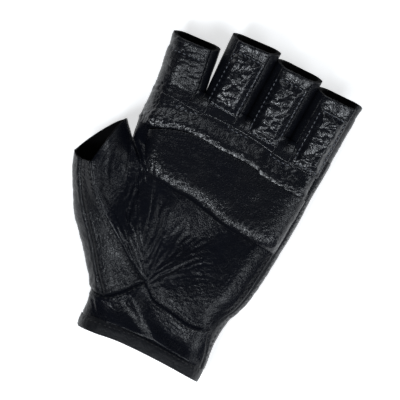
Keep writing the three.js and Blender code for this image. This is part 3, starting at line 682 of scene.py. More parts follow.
def softbox(name, place, aim, size, power):
    lamp = bpy.data.objects.new(name, bpy.data.lights.new(name, "AREA"))
    bpy.context.scene.collection.objects.link(lamp)
    lamp.data.shape = "RECTANGLE"
    lamp.data.size, lamp.data.size_y = size
    lamp.data.energy = power
    lamp.data.color = DAYLIGHT
    lamp.location = place
    lamp.rotation_euler = (Vector(aim) - Vector(place)).to_track_quat("-Z", "Y").to_euler()


def on_table(right, up, height):
    """A place given by the camera's own right and up, in metres."""
    c, s = math.cos(TURN), math.sin(TURN)
    return (centre[0] + right * c - up * s, centre[1] + right * s + up * c, height)


AIM = on_table(0, 0, 0.01)
softbox("shadow_softbox", on_table(0.42, -0.55, 0.90), AIM, (0.4, 0.4), 5.0)
softbox("key_softbox", on_table(-0.46, -0.40, 0.92), AIM, (0.30, 0.26), 6.2)
softbox("side_softbox", on_table(1.00, -0.10, 0.45), AIM, (0.3, 0.5), 2.0)
softbox("top_softbox", on_table(0.1, 1.15, 0.75), AIM, (0.6, 0.5), 3.0)
world = bpy.data.worlds.new("studio")
bpy.context.scene.world = world
world.use_nodes = True
world.node_tree.nodes["Background"].inputs["Color"].default_value = (1, 1, 1, 1)
world.node_tree.nodes["Background"].inputs["Strength"].default_value = 0.04
bpy.context.scene.view_settings.view_transform = "Standard"

# ---- Seams in plan ------------------------------------------------------------------------------
wrap_line = curve((5.0, 2.0), (14, 2.6), (22, 4.6), (29, 6.2), (36, 4.6), (43, 3.4), (55, 3.2), (139, 3.1),
    (215, 3.1))


def wrap_depth(y):
    """How far the back leather comes round the little finger's side."""
    return np.interp(y, wrap_line[:, 0], wrap_line[:, 1])


right_seam = right_edge.copy()
right_seam[:, 0] -= wrap_depth(right_edge[:, 1])
side_seam = curve((-24.5, 17.0), (-27.8, 20.6), (-31.9, 24.9), (-36, 29.9), (-42.5, 38.4), (-50, 46.9),
    (-57.5, 55.6),
                  (-61.8, 61.4), (-66.2, 68.6), (-69.6, 76.0))
BACK_TOP = 137.4  # where the back panel meets the stalls at each side
COVER_TOP_LEFT, COVER_TOP_RIGHT = 128.2, 126.6
BAND_FOOT, BAND_TOP = 80.4, 113.2  # on the little finger's side
CUFF_FOOT = 4.6
HEEL_END = 30.0  # where the heel's seam meets the little finger's side
fold_line = curve(cross, (-19, 53), (-33, 74), (-44, 90), crotch)
heel_line = curve(cross, (-5.0, 31.6), (1, 28.0), (12.5, 26.4), (22.5, 25.2), (29.5, 26.4),
    at_height(right_seam, HEEL_END))
wrist_line = curve((-24.5, 17.0), (-18.5, 21.6), (-13.2, 28.4), cross)
hem_bottom = curve((-30.6, -0.9), (-29.2, -2.2), (-26.6, -3.1), (-22, -3.6), (-12, -2.4), (0, 0.0), (18.8, 0.9),
    (39.0, 0.2), (42.0, 1.4))
hem_top = curve((-30.6, 3.4), (-28.6, 2.6), (-25.3, 2.9), (-20, 4.3), (0, 7.5), (12.5, 8.1), (31, 7.8),
    (42.1, 6.8))
band_low = curve((-36.0, 87.0), (-28.8, 84.9), (-21, 84.3), (-8.8, 84.2), (0, 83), (12.5, 80.7), (25, 79.9),
    at_height(right_seam, BAND_FOOT))
band_high = curve((-45.5, 107.0), (-38.8, 110.4), (-31, 113.6), (-20, 115.6), (-5, 115.2), (12.5, 115.4),
    (22, 113.6), at_height(right_seam, BAND_TOP))
cover_low = curve(at_height(index_edge, 108.6), (-46.9, 108.6), (-38.8, 110.6), (-31, 113.8), (-20, 114.9),
    (-5, 114.3), (12.5, 114.9),
                  (18.5, 113), (31, 112.3), at_height(right_seam, 112.4))
cover_high = curve(at_height(index_edge, COVER_TOP_LEFT), (-38, 127.6), (-28.6, 127.4), (-18, 128.8),
    (-2.6, 129.2), (10, 128.4), (23.4, 126.8),
                   (36, COVER_TOP_RIGHT), at_height(right_seam, COVER_TOP_RIGHT))
GUSSET_HALF = 5.0
STALL_INSET = 4.0  # how far the fourchettes come round onto the palm and the back
HEM_ROW = 7.2  # stitched row below a stall's opening


PADS = {"middle": (-25.6, -7.6, 134.6, 167.2), "ring": (1.0, 19.0, 130.6, 165.6),
    "little": (29.6, 46.0, 127.6, 161.4)}


def fasten(piece, body):
    """Rides on the hand; a piece on a finger or the thumb only has its transform baked into its mesh."""
    if body == "hand":
        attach(piece, "hand")
    else:
        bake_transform(piece)


def finish(piece, body, material, nodes=()):
    piece.data.materials.append(material)
    fasten(piece, body)
    if nodes:
        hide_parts(*nodes)
    return piece


# One stitch: a short bead of thread whose ends dive into the leather, lying along X.
bpy.ops.object.select_all(action="DESELECT")
bpy.ops.mesh.primitive_cylinder_add(vertices=6, radius=0.24, depth=1.7, end_fill_type="TRIFAN",
    location=(0, 0, 0), rotation=(0, math.pi / 2, 0))
bead = bpy.context.object
bpy.ops.object.mode_set(mode="EDIT")
for cut in (-0.5, 0.0, 0.5):
    bpy.ops.mesh.select_all(action="SELECT")
    bpy.ops.mesh.bisect(plane_co=(cut, 0, 0), plane_no=(1, 0, 0))
bpy.ops.object.mode_set(mode="OBJECT")
bpy.ops.object.transform_apply(location=True, rotation=True, scale=True)
BEAD_POINTS = np.array([v.co for v in bead.data.vertices])
BEAD_FACES = [tuple(p.vertices) for p in bead.data.polygons]
ends = np.abs(BEAD_POINTS[:, 0]) / 0.85
BEAD_POINTS[:, 1:] *= (1 - 0.45 * ends**2)[:, None]
BEAD_POINTS[:, 2] -= 0.3 * ends**2
bpy.data.objects.remove(bead)


def sew(name, host, outer, lines, body, thread):
    """Rows of stitches on a piece's outer face."""
    points, faces = [], []
    for line in lines:
        run = measure(line)
        count = int(run[-1] // STITCH)
        if count < 1:
            continue
        starts = (np.arange(count) + 0.5) * STITCH + (run[-1] - count * STITCH) / 2
        middle_ = along(line, starts / run[-1])
        ahead = along(line, np.clip((starts + 0.6) / run[-1], 0, 1))
        behind = along(line, np.clip((starts - 0.6) / run[-1], 0, 1))
        for m, way in zip(middle_, ahead - behind):
            k = int(((host.points - m) ** 2).sum(1).argmin())
            n = host.normals[k]
            way = way - n * (way @ n)
            way /= max(np.linalg.norm(way), 1e-9)
            across = np.cross(n, way)
            base = m + n * ((outer[k] - m) @ n + 0.12)
            faces += [tuple(len(points) + i for i in f) for f in BEAD_FACES]
            points += (base + BEAD_POINTS @ np.array([way, across, n])).tolist()
    mesh = bpy.data.meshes.new(name)
    mesh.from_pydata(metres(points).tolist(), [], faces)
    mesh.update()
    mesh.shade_smooth()
    piece = bpy.data.objects.new(name, mesh)
    bpy.context.scene.collection.objects.link(piece)
    return finish(piece, body, thread)


# ---- Panels -------------------------------------------------------------------------------------
def slow(points, seed, size=14.0, height=0.35):
    """Gentle unevenness, so that no panel is a perfect surface."""
    return height * swell(points[:, 0] / size, points[:, 1] / size, seed)


def panel(name, sheet, body, material, nodes, offsets=None, seams=(), flat=(), rows=(),
        inside=LEATHER, drop=0.8, flesh=None, thread=None):
    """One cut piece of leather: its relief, its seams turned in, its stitched rows, its place."""
    p = sheet.points
    off = slow(p, len(name)) if offsets is None else offsets
    if len(seams):
        off = off * (0.2 + 0.8 * smooth(nearest([*seams, *flat], p), 0.2, 2.8)) + seam_tuck(p, list(seams),
            drop)
    for row in rows:
        off = off + row_pucker(p, row)
    piece = finish(build(name, sheet, off, inside), body, material, nodes)
    piece.data.materials.append(material if flesh is None else flesh)
    if len(rows):
        outer = p + sheet.normals * off[:, None]
        outer[:, 2] = np.maximum(outer[:, 2], 0.3)
        sew(name + "_stitches", sheet, outer, rows, body, thread or THREAD)
    return piece


def wrap(edge):
    """The strip of back leather that comes round an edge on the little finger's side."""
    inner = np.column_stack([edge[:, 0] - wrap_depth(edge[:, 1]), edge[:, 1]])
    return patch(np.array([inner[0], edge[0]]), np.array([inner[-1], edge[-1]]), inner, edge, ease(9, end=True))


def opening(name, x, side):
    """Where a stall's opening lies at x: lower on the palm, higher on the back."""
    f = FINGERS[name]
    share = (x - f["tip"][0]) / (f["tip"][1] - f["tip"][0])
    base = f["end"][0] + (f["end"][1] - f["end"][0]) * share
    inward = np.clip(np.minimum(x - f["tip"][0], f["tip"][1] - x) / 7.0, 0, 1)
    return base + 0.4 - side * (3.0 if side > 0 else 1.9) * np.sqrt(1 - (1 - inward) ** 2)


def side_run(name, side, low, face):
    """A stall panel's side edge, from height low to the opening."""
    inward = STALL_INSET if side == 0 else -STALL_INSET
    end = opening(name, FINGERS[name]["tip"][side] + inward, face)
    ys = np.linspace(low, end, 40)
    return np.column_stack([side_x(name, ys, side) + inward, ys])


# ---- Palm: from the heel and the thumb's seam to under the padded band ---------------------
TOP_Y = 117.0
thumb_inner_edge = curve(crotch, (-55.9, 103.8), thumb_inner)
thumb_mouth = curve(thumb_ridge, (-62.6, 86.0), (-60.8, 96.0), thumb_inner)
n_fold, n_thumb = cells_for(fold_line), cells_for(thumb_inner_edge)
n_index = cells_for(between(index_edge, crotch[1], TOP_Y))
fold_run, inner_run = even(fold_line, n_fold), even(thumb_inner_edge, n_thumb)
palm = Sheet(
    patch(heel_line, np.array([at_height(index_edge, TOP_Y), at_height(right_seam, TOP_Y)]),
          joined(fold_run, even(between(index_edge, crotch[1], TOP_Y), n_index)),
          even(between(right_seam, HEEL_END, TOP_Y), n_fold + n_index), shares(150)),
    patch(np.array([cross, cross + 1e-6]), thumb_mouth, even(thumb_seam, n_fold + n_thumb),
    joined(fold_run, inner_run), ease(64, end=True)),
)
dice = random.Random(7)


def fan_of_creases():
    """Creases that spread from the wrist over the ball of the thumb and up the palm."""
    lines = []
    for k in range(74):
        t = k / 73
        angle = math.radians(150 - 112 * t + dice.uniform(-3, 3))
        start = dice.uniform(5, 26)
        length = dice.uniform(10, 28) * (1.15 - 0.5 * abs(t - 0.4))
        bend = dice.uniform(-0.012, 0.004)
        place, way, line = cross + start * np.array([math.cos(angle), math.sin(angle)]), angle, []
        for _ in range(9):
            line.append(place.copy())
            place = place + length / 8 * np.array([math.cos(way), math.sin(way)])
            way += bend * length / 4 + dice.uniform(-0.07, 0.07)
        lines.append((line, dice.uniform(0.08, 0.24) * (1.25 - 0.7 * t), dice.uniform(0.55, 0.9)))
    for a, b, c, depth in (((-39, 79), (-37.2, 69), (-31, 57), 0.5), ((-36, 76), (-34, 66), (-30.5, 55), 0.45),
                           ((-29.5, 84), (-23, 68), (-18.5, 50), 0.5),
                           ((-17, 74), (-13.0, 60), (-13.0, 43), 0.34),
                           ((-3.5, 73), (-1.5, 60), (-6.5, 44), 0.3), ((8, 56), (2, 47), (-4.5, 40), 0.3),
                           ((-43, 92), (-37, 78), (-28, 62), 0.45), ((-47, 97), (-40, 88), (-34, 80), 0.7),
                           ((-51, 96), (-46, 86), (-41, 72), 0.4), ((-56, 90), (-52, 78), (-45, 66), 0.25),
                           ((-59, 88), (-56.6, 78), (-51, 69), 0.22), ((14, 62), (5, 52), (-2, 42), 0.25),
                           ((-24, 80), (-18, 66), (-15.5, 50), 0.4), ((-51, 99), (-44, 93), (-37, 88), 0.8),
                           ((-48, 101), (-41, 97), (-37, 92), 0.5)):
        lines.append((curve(a, b, c, per=8), depth, dice.uniform(0.8, 1.1)))
    return lines


def palm_relief(p):
    x, y = p[:, 0], p[:, 1]
    off = slow(p, 3) + 0.10 * swell(x / 3.1, y / 4.2, 12)
    for line, depth, width in fan_of_creases():
        off += stroke(p, line, depth, width)
    # Small crumples over the ball of the thumb and the heel, and pleats where the seams cross.
    off += 0.42 * hill(x, y, -38, 63, 14, 12) * crumple(x, y, 31, 4.2, 2.2, 1.9)
    off += 0.34 * hill(x, y, -52, 80, 12, 14) * crumple(x, y, 36, 4.6, 2.2, 1.6)
    off += 0.30 * hill(x, y, 12, 46, 26, 18) * crumple(x, y, 41, 3.4, 2.0, 0.7)
    off += 0.22 * hill(x, y, -8.5, 37, 10,
        8) * np.sin(17 * np.arctan2(y - 31, x + 8.5) + 2 * swell(x / 5, y / 5, 42))
    return off


heel_seam, thumb_seam_3d = on_skin(even(heel_line, 60)), on_skin(even(thumb_seam, 70))
right_seam_3d = on_skin(even(between(right_seam, 6, 165), 160))
panel("palm_leather", palm, "thumb", PALM_LEATHER, ("palm_panel", "thumb_palm"),
    offsets=palm_relief(palm.points), flesh=FLESH_SIDE,
      seams=[heel_seam[:54], thumb_seam_3d], flat=[heel_seam, right_seam_3d],
      rows=[on_skin(shifted(even(heel_line, 80), 1.7)),
      on_skin(shifted(even(between(right_seam, 41, 80), 50), 1.7))])

# ---- Side panel, from the wrist to the thumb's opening ---------------------------------------
n_side = cells_for(thumb_seam)
side_sheet = Sheet(patch(wrist_line, curve(side_seam[-1], (-66.9, 76.3), thumb_ridge), even(side_seam, n_side),
    even(thumb_seam, n_side), shares(40)))
p = side_sheet.points
x, y = p[:, 0], p[:, 1]
along_wrist = (x + 24.5) * 0.674 + (y - 17.0) * 0.738
from_wrist = (y - 17.0) * 0.674 - (x + 24.5) * 0.738
gather = 1 - smooth(from_wrist, 4, 30)
side_seam_3d = on_skin(even(side_seam, 70))
wrist_seam = on_skin(even(wrist_line, 30))
panel("side_panel", side_sheet, "thumb", BACK_LEATHER, ("wrist_side_panel", "thumb_side_panel"),
    flesh=FLESH_SIDE,
      offsets=slow(p, 5, 20, 0.4) + 0.24 * gather
      * swell(from_wrist / 1.1 + 1.2 * swell(x / 7, y / 7, 8), along_wrist / 9, 78)
      + 0.30 * gather * (crumple(x, y, 77, 6.5, 1.7, 0.83)) + 0.10 * crumple(x, y, 79, 7, 3, 2.2),
      seams=[thumb_seam_3d, side_seam_3d, wrist_seam],
      rows=[on_skin(shifted(even(thumb_seam, 90)[6:], 1.6)), on_skin(shifted(even(side_seam, 90)[4:], -1.5))])

def under_binding(p, off):
    """The raw edge at the mouth is pulled flat inside the binding."""
    x, y = p[:, 0], p[:, 1]
    covered = smooth(level(hem_top, x) + 1.2 - y, 0, 2.4)
    return off * (1 - covered) - 0.7 * covered


# ---- Cuff: the front under the heel, and the binding round the mouth ------------------------
cuff_low = curve(at_height(cuff_edge, 0.8), (-25.5, 0.6), (-20, 1.2), (0, 4.4), (18.8, 5.2), (31, 5.0),
    at_height(right_seam, CUFF_FOOT))
wrist_end = curve(pinch, (-28.6, 16.2), (-24.5, 17.0))
cuff_top = joined(even(wrist_end, 12), even(wrist_line, 30), even(heel_line, 80))
n_cuff = cells_for(between(right_seam, CUFF_FOOT, HEEL_END))
cuff_sheet = Sheet(patch(cuff_low, cuff_top, even(between(cuff_edge, 0.8, pinch[1]), n_cuff),
    even(between(right_seam, CUFF_FOOT, HEEL_END), n_cuff), ease(150, start=True)))
p = cuff_sheet.points
x, y = p[:, 0], p[:, 1]
soft_fold = curve((-14, 31), (-10.5, 27.0), (-4, 21.5), (3.6, 16.6), (13.8, 11.4), (24, 9.6), (36, 7.6))
d, run = nearest([soft_fold], p[:, :2], True)
above = y - level(soft_fold, x)
d = np.where(above > 0, d, -d)
strength = smooth(run, 0, 9) * (1 - 0.6 * smooth(run, 22, 52))
off = slow(p, 9, 12, 0.4) + strength * (1.7 * np.exp(-(((d + 1.4) / 3.4) ** 2)) - 0.7 * smooth(d, 0, 5))
off += (0.16 + 0.34 * hill(x, y, -10, 17, 13, 10)) * crumple(x, y, 52, 3.2, 1.8, -0.5)
for k in range(16):
    angle = math.radians(-55 + 7.5 * k + dice.uniform(-3, 3))
    way = np.array([math.cos(angle), math.sin(angle)])
    a = pinch + dice.uniform(2, 7) * way
    off += stroke(p, [a, a + way * 4, a + way * dice.uniform(7, 15)], dice.uniform(0.12, 0.34),
        dice.uniform(0.6, 0.9))
panel("cuff_front", cuff_sheet, "hand", PALM_LEATHER, ("cuff_palm",),
    under_binding(p, off), flesh=FLESH_SIDE,
      seams=[heel_seam[:54], wrist_seam, on_skin(even(wrist_end, 20))], flat=[heel_seam, right_seam_3d],
      rows=[on_skin(shifted(even(heel_line, 80), -1.6)), on_skin(shifted(even(wrist_line, 30), -1.3))],
      drop=0.7)


def ring(low, high, rows):
    """A band round the whole mouth: across the palm side, then back across the other."""
    out = []
    for t in shares(rows):
        level = low + (high - low) * t
        a, b = np.interp(level[0, 1], cuff_edge[:, 1], cuff_edge[:, 0]), np.interp(level[-1, 1],
            right_edge[:, 1], right_edge[:, 0])
        share = (level[:, 0] - level[0, 0]) / (level[-1, 0] - level[0, 0])
        x = a + (b - a) * (1 - np.cos(np.pi * share)) / 2
        y = level[:, 1]
        front, back = np.column_stack([x, y]), np.column_stack([x, y])[::-1]
        out.append(np.concatenate([np.column_stack([front, skin(front[:, 0], front[:, 1], 1)]),
                                   np.column_stack([back, skin(back[:, 0], back[:, 1], -1)])[1:-1]]))
    return dict(points=np.array(out), side=1)


share_line = shares(150)
low_line, high_line = (
    np.column_stack([np.interp(share_line, shares(len(l)), l[:, k]) for k in (0, 1)])
    for l in (along(hem_bottom, share_line), along(hem_top, share_line))
)
binding = Sheet(ring(low_line, high_line, 15), loop=True)
p = binding.points
x, y = p[:, 0], p[:, 1]
outward = np.sign(x - x.mean())
tight = (np.minimum(x - x.min(), x.max() - x) < 1.0) & (binding.normals[:, 0] * outward < 0.3)
binding.normals[tight] = np.column_stack([outward, 0 * outward,
    0 * outward])[tight]  # the sharp turn at each side of the mouth
rise = (y - level(low_line, x)) / np.interp(x, low_line[:, 0], high_line[:, 1] - low_line[:, 1])
rise = np.clip(rise, 0, 1)
bulge = np.sqrt(np.clip(1 - np.abs(2 * rise - 1) ** 4, 0, 1))
stitch_line = even(low_line + 0.86 * (high_line - low_line), 200)[9:-9]
back_line = stitch_line[::-1]
ends = smooth(np.minimum(x - x.min(), x.max() - x), 0, 6)
hem_off = 0.1 + 0.85 * bulge * (0.15 + 0.85 * ends) + 0.14 * swell(x / 2.2, y / 9, 3) + 0.18 * swell(x / 7,
    y / 20, 4)
panel("cuff_binding", binding, "hand", HEM_LEATHER, ("cuff_hem_palm", "cuff_hem_back"),
    hem_off,
      rows=[on_skin(stitch_line), on_skin(back_line, -1)], inside=0.15 + 1.15 * bulge)

# ---- Back, with the strips of it that come round to the palm side -----------------------------
n_low, n_pinch = cells_for(between(cuff_edge, 1.5, pinch[1]), 0.9), cells_for(thumb_edge, 0.9)
n_crotch = cells_for(between(index_edge, crotch[1], BACK_TOP), 0.9)
straight_fold = even(np.array([pinch, crotch]), n_pinch)
top_points = [at_height(index_edge, BACK_TOP), (-42, 137.2), (-33.4, 138.1), (WEBS[0], 139.05), (-23.8, 138.1),
    (-15.6, 137.2), (-7.4, 138.1), (WEBS[1], 139.05),
              (2.2, 138.1), (10.4, 137.2), (18.6, 138.1), (WEBS[2], 139.05), (28.2, 138.1), (37, 137.2),
              at_height(right_edge, BACK_TOP)]
back_top_line = np.concatenate([curve(*top_points[:4])[:-1], curve(*top_points[3:8])[:-1],
    curve(*top_points[7:12])[:-1], curve(*top_points[11:])])
right_rows = even(between(right_edge, 1.5, BACK_TOP), n_low + n_pinch + n_crotch)
left_rows = joined(even(between(cuff_edge, 1.5, pinch[1]), n_low), straight_fold,
    even(between(index_edge, crotch[1], BACK_TOP), n_crotch))
thumb_rows = even(thumb_edge, n_pinch)
thumb_mouth_back = curve(thumb_outer, (-73.2, 85.0), (-68.6, 94.0), (-62.8, 102.8), thumb_inner)
n_inner = cells_for(thumb_inner_edge, 0.9)
outer_rows = even(thumb_edge, n_pinch + n_inner)
back = Sheet(
    patch(np.array([left_rows[0], right_rows[0]]), back_top_line, left_rows, right_rows, ease(120, True, True),
    -1),
    patch(np.array([pinch, pinch + 1e-6]), thumb_mouth_back, outer_rows,
    joined(straight_fold, even(thumb_inner_edge, n_inner)), ease(70, True), -1),
    wrap(right_rows),
    patch(even(wrist_end, 22), curve(thumb_outer, (-73.0, 76.4), side_seam[-1]), outer_rows,
    even(side_seam, n_pinch + n_inner), ease(22, True)),
)
p = back.points
x, y = p[:, 0], p[:, 1]
wrist = np.exp(-(((y - 17) / 11) ** 2))
off = slow(p, 21, 18, 0.5) + 0.1 * swell(x / 3, y / 5, 22)
off += 0.75 * wrist * swell(x / 2.6, y / 16, 23) + 0.3 * wrist * swell(x / 1.5, y / 12, 24)
off += 0.35 * crumple(x, y, 25, 9, 5, 0.3) * (1 - smooth(y, 60, 120))
knuckles = [on_skin(even(curve((w - 2, 120), (w, 104), (w * 0.8 - 1, 72)), 60), -1) for w in WEBS]
for line in knuckles:
    off += seam_tuck(p, [line], 0.5, 0.9)
panel("back_leather", back, "thumb", BACK_LEATHER, ("back_panel", "thumb_back"),
    offsets=under_binding(p, off),
      seams=[side_seam_3d, right_seam_3d, on_skin(even(wrist_end, 20))], flesh=FLESH_SIDE,
      rows=[on_skin(even(between(right_edge, 8, 130), 130) - (1.3, 0)),
      *[on_skin(shifted(l[:, :2], 1.3), -1) for l in knuckles]])

# ---- Padded band across the palm ------------------------------------------------------------
band_left = curve((-36.0, 87.0), (-40.5, 93), (-43.6, 100), (-45.5, 107.0))
n_band = cells_for(between(right_seam, BAND_FOOT, BAND_TOP))
band = Sheet(patch(band_low, band_high, even(band_left, n_band),
    even(between(right_seam, BAND_FOOT, BAND_TOP), n_band), shares(150)))
p = band.points
x, y = p[:, 0], p[:, 1]
low_y = level(band_low, x)
high_y = level(band_high, x)
band_edges = [np.column_stack([l, np.zeros(len(l))])
    for l in (band_left, even(between(right_seam, BAND_FOOT, BAND_TOP), 40))]
in_edge = nearest([l[:, :2] for l in band_edges], p[:, :2])
up = y - low_y
swellup = 1 - np.exp(-np.maximum(up, 0) / 2.1)
shape = swellup * (3.9 - 2.2 * smooth(up, 4, 26)) * (1 - np.exp(-in_edge / 3.2))
strain = np.exp(-(((up - 4.0) / 4.6) ** 2))
off = 0.3 + shape + slow(p, 31, 10, 0.35) + 0.22 * strain * swell(x / 1.5 + 0.12 * up, up / 8, 32)
off += 0.62 * strain * crumple(x, up, 33, 2.4, 6.5, -0.12) * (0.75 + 0.5 * swell(x / 8, up / 8, 35))
off += 0.40 * crumple(x, y, 34, 5.0, 2.4, 0.25) * smooth(up, 0,
    6) * (0.2 + 0.8 * smooth(-x, 12, 34) * np.exp(-up / 14) + 0.6 * smooth(x, 26, 42))
panel("padded_band", band, "hand", COVER_LEATHER, ("palm_band_cover", "palm_band_foam"),
    offsets=off, inside=0.5)

# ---- Cover over the finger roots --------------------------------------------------------------
cover_left, cover_right = between(index_edge, 108.6, COVER_TOP_LEFT), between(right_seam, 112.4,
    COVER_TOP_RIGHT)
n_cover = cells_for(cover_left)
cover = Sheet(patch(cover_low, cover_high, even(cover_left, n_cover), even(cover_right, n_cover),
    ease(170, start=True)))


def root_height(p):
    """How the leather over the finger roots stands off, from its puffed lower edge to the stalls."""
    x, y = p[:, 0], p[:, 1]
    up = y - level(cover_low, x)
    puff = 0.8 + (1 - np.exp(-np.maximum(up, 0) / 2.0)) * (2.5 - 2.1 * smooth(up, 3.5, 13))
    ends = 0.12 + 0.88 * smooth(x, -54, -45) * (1 - smooth(x, 41, 46.5))
    rough = smooth(-x, 22, 34) + smooth(x, 24, 34)
    off = puff * ends + 0.12 * swell(x / 3, y / 3, 44)
    edge = np.exp(-(((up - 2.2) / 3.0) ** 2))
    off += edge * (0.45 * swell(x / 1.35, up / 5, 45) + 0.65 * crumple(x, up, 43, 2.1, 3.2, 0.1))
    return off + (0.16 + 0.60 * rough) * crumple(x, y, 46, 4.2, 2.4, 0.5)


web_rows = [curve((-9.6, 130.0), (-8.6, COVER_TOP_LEFT), (-3.0, 127.9), (1.4, 127.9), (3.2, 129.0)),
    curve((17.2, 127.6), (18.4, 125.9), (23.4, 125.2), (28.2, 125.4), (30.0, 126.4)),
            curve((-41, 125.0), (-37.0, 124.8), (-32.0, 125.2), (-28.6, 126.0), (-25.4, 127.4))]
panel("finger_root_leather", cover, "hand", PAD_LEATHER, ("finger_root_cover", "finger_root_foam"),
      offsets=root_height(cover.points), seams=[right_seam_3d], rows=[on_skin(even(l, 40)) for l in web_rows],
      inside=0.6, thread=SHEEN_PAINTED_THREAD)

# ---- Gussets in the webs ----------------------------------------------------------------------
for web, name in zip(WEBS, ("index_middle_gusset", "middle_ring_gusset", "ring_little_gusset")):
    low = np.array([(x, level(cover_high, x)) for x in np.linspace(web - GUSSET_HALF, web + GUSSET_HALF, 12)])
    high = curve((web - 4.6, 138.3), (web - 2.4, 138.6), (web, 139.0), (web + 2.4, 138.6), (web + 4.6, 138.3))
    rows_here = cells_for([low[0], high[0]], 0.5)
    g = Sheet(patch(low, high, even(np.array([low[0], high[0]]), rows_here),
        even(np.array([low[-1], high[-1]]), rows_here), shares(22)))
    panel(name.replace("gusset", "web"), g, "hand", PAD_LEATHER, (name,),
        offsets=root_height(g.points) * (1 - 0.7 * smooth(g.points[:, 1], 131, 138)), inside=0.8)

# ---- Finger stalls ----------------------------------------------------------------------------
LIMITS = {"index": (None, WEBS[0]), "middle": (WEBS[0], WEBS[1]), "ring": (WEBS[1], WEBS[2]),
    "little": (WEBS[2], None)}


def stall_height(name, face):
    """Relief of a stall's panel; the palm side carries on the leather of the finger roots."""
    def at(p):
        x, y = p[:, 0], p[:, 1]
        f = FINGERS[name]
        if face > 0:
            carry = 1 - smooth(y, 128, 140)
            off = root_height(p) * carry + 0.5 * (1 - carry)
        else:
            off = slow(p, 61, 12, 0.4)
        off = off + (0.65 if name == "index" else 0.4) * crumple(x, y, 62 + len(name), 6, 3.6, 0.3) * smooth(y,
            134, 142)
        if face > 0 and name == "index":
            off = off + 1.5 * hill(x, y, -47.5, 145.0, 5.5, 9.0) - 0.5 * hill(x, y, -44, 132.5, 9, 2.6)
        # the hem at the opening is the leather turned in: it stands a little proud
        end = opening(name, x, face)
        down = end - y
        return off + 0.35 * np.exp(-((down - 1.2) / 1.4) ** 2) - 0.25 * np.exp(-((down - 6.5) / 1.4) ** 2)
    return at


def doubled(down):
    """Thickness at a depth below the opening, where the leather is turned in and double."""
    return LEATHER + (HEM - LEATHER) * (1 - smooth(down, 6, 7.5))


def hem_depth(name, p, face):
    return doubled(opening(name, p[:, 0], face) - p[:, 1])


def stall_edge(name, web, side, face):
    """Left (0) or right (1) edge of a stall's palm or back panel, from its root to the opening."""
    tip = FINGERS[name]["tip"][side]
    if web is None and face < 0:
        return between((index_edge, right_edge)[side], BACK_TOP, opening(name, tip, face))
    if web is None and side == 0:
        return between(index_edge, COVER_TOP_LEFT, opening(name, tip, face))
    if web is None:
        return between(right_seam, COVER_TOP_RIGHT, opening(name, tip - 3.1, face))
    if face < 0:
        return side_run(name, side, 138.1, face)
    out = -1 if side == 0 else 1
    x = web - out * GUSSET_HALF
    root = [(x, level(cover_high, x)), (x + out * 0.2, 136)]
    return np.concatenate([root, side_run(name, side, 139.5, face)])


def stall_grid(name, webs, face, root_line, cells, us):
    """A stall's palm or back panel, its right edge, and the stitched row under its opening."""
    left, right = (stall_edge(name, web, side, face) for side, web in enumerate(webs))
    lines = []
    for end in (0, -1):
        xs = np.linspace(left[end, 0], right[end, 0], 40)
        line = np.column_stack([xs, opening(name, xs, face) if end else level(root_line, xs)])
        line[0], line[-1] = left[end], right[end]
        lines.append(line)
    row = on_skin(np.column_stack([xs, opening(name, xs, face) - HEM_ROW])[2:-2], face)
    return patch(*lines, even(left, cells), even(right, cells), us, face), even(right, cells), row


for name, webs in LIMITS.items():
    at_left, at_right = (web is None for web in webs)
    is_index = name == "index"
    grid, right, row = stall_grid(name, webs, 1, cover_high, 72, ease(40, start=at_left))
    stall = Sheet(grid)
    panel(name + "_palm_leather", stall, name, COVER_LEATHER if is_index else PAD_LEATHER, (name + "_palm",),
          offsets=stall_height(name, 1)(stall.points), rows=[row] if is_index else [],
          inside=hem_depth(name, stall.points, 1), flesh=FLESH_SIDE, thread=SHEEN_PAINTED_THREAD)
    grid, right, row = stall_grid(name, webs, -1, back_top_line, 50, ease(36, at_left, at_right))
    stall = Sheet(grid, wrap(right)) if at_right else Sheet(grid)
    panel(name + "_back_leather", stall, name, BACK_LEATHER, (name + "_back",),
          offsets=stall_height(name, -1)(stall.points), rows=[row],
          inside=hem_depth(name, stall.points, -1), flesh=FLESH_SIDE)
    # Fourchettes between this stall and its neighbours.
    half = math.acos(1 - STALL_INSET / FINGER_ROUND)
    tips = FINGERS[name]["tip"]
    for side, web in enumerate(webs):
        if web is None:
            continue
        inward = 1 if side == 0 else -1
        grid = []
        for t in shares(52):
            row = []
            for a in np.linspace(-half, half, 19)[::inward]:
                inset = inward * FINGER_ROUND * (1 - math.cos(a))
                end = opening(name, tips[side] + inset, 1 if a > 0 else -1)
                y = 138.2 + (end - 138.2) * t
                x = side_x(name, y, side) + inset
                depth = half_depth(np.array(y)) * math.sin(a)
                row.append((x, y, float(middle(np.array(x), np.array(y)) + depth)))
            grid.append(row)
        four = Sheet(dict(points=np.array(grid), side=1))
        x, y, z = four.points.T
        crown = np.clip(1 - ((z - middle(x, y)) / 8.5) ** 2, 0, 1)  # filled out by the finger
        part, cut_name = (("thumbside_side", "thumbside_fourchette"), ("outer_side", "outer_fourchette"))[side]
        panel(f"{name}_{part}", four, name, BACK_LEATHER, (f"{name}_{cut_name}",), flesh=FLESH_SIDE,
              offsets=slow(four.points, 71 + side, 9, 0.3) + (0.50 + 0.35 * smooth(y, 138, 160)) * crown,
              inside=doubled(opening(name, np.clip(x, *tips), 1) - y))

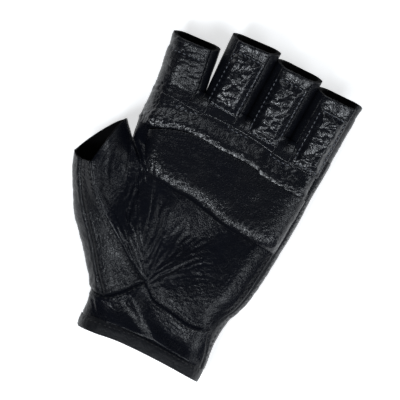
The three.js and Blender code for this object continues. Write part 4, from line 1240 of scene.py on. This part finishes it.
# ---- Finger pads ------------------------------------------------------------------------------
for name, (x0, x1, y0, y1) in PADS.items():
    corner = np.array([(x0, y0), (x1, y0)]), np.array([(x0, y1), (x1, y1)])
    n_up = cells_for([(x0, y0), (x0, y1)], 0.5)
    pad = Sheet(patch(corner[0], corner[1], even(np.array([(x0, y0), (x0, y1)]), n_up),
        even(np.array([(x1, y0), (x1, y1)]), n_up), shares(40)))
    p = pad.points
    x, y = p[:, 0], p[:, 1]
    edge = np.minimum(np.minimum(x - x0, x1 - x), np.minimum(y - y0, y1 - y))
    rise = smooth(edge, 0.0, 0.8) * 0.5 + smooth(edge, 1.5,
        4.6) * 1.7 - 0.25 * np.exp(-(((edge - 1.2) / 0.5) ** 2))
    off = 0.5 + root_height(p) * (1 - smooth(y, 128, 140)) * 0.7 + rise
    off += 1.35 * crumple(x, y, 80 + len(name), 7.2, 4.8, 0.55) * smooth(edge, 1.5, 3.4)
    border = [on_skin(even(np.array(l), 60))
        for l in ([(x0 + 1, y1 - 1), (x0 + 1, y0 + 1)], [(x1 - 1, y0 + 1), (x1 - 1, y1 - 1)],
                                                      [(x0 + 1.2, y0 + 1), (x1 - 1.2, y0 + 1)],
                                                      [(x1 - 1.2, y1 - 1), (x0 + 1.2, y1 - 1)])]
    panel(name + "_pad_leather", pad, name, PAD_LEATHER, (name + "_pad",),
        offsets=off,
          rows=border, inside=0.2, thread=SHEEN_PAINTED_THREAD)

# ---- Elastic inside the wrist -----------------------------------------------------------------
for name, node_name, x0, x1, side in (("wrist_elastic_back_tape", "wrist_elastic_back", -22, 33, -1),
    ("wrist_elastic_palm_tape", "wrist_elastic_palm", -24, -10, 1)):
    low = np.array([(x0, 11.0), (x1, 11.0)]) if side < 0 else np.array([(-26.0, 11.5), (-13.0, 19.5)])
    high = low + (0, 10.2)
    tape = Sheet(patch(low, high, even(np.array([low[0], high[0]]), 12), even(np.array([low[1], high[1]]), 12),
        shares(80 if side < 0 else 26), side))
    q = tape.points
    tape.points = q - tape.normals * 3.3
    piece = finish(build(name, tape, 0.25 * swell(q[:, 0] / 1.8, q[:, 1] / 12, 91), 1.0), "hand", ELASTIC,
        (node_name,))
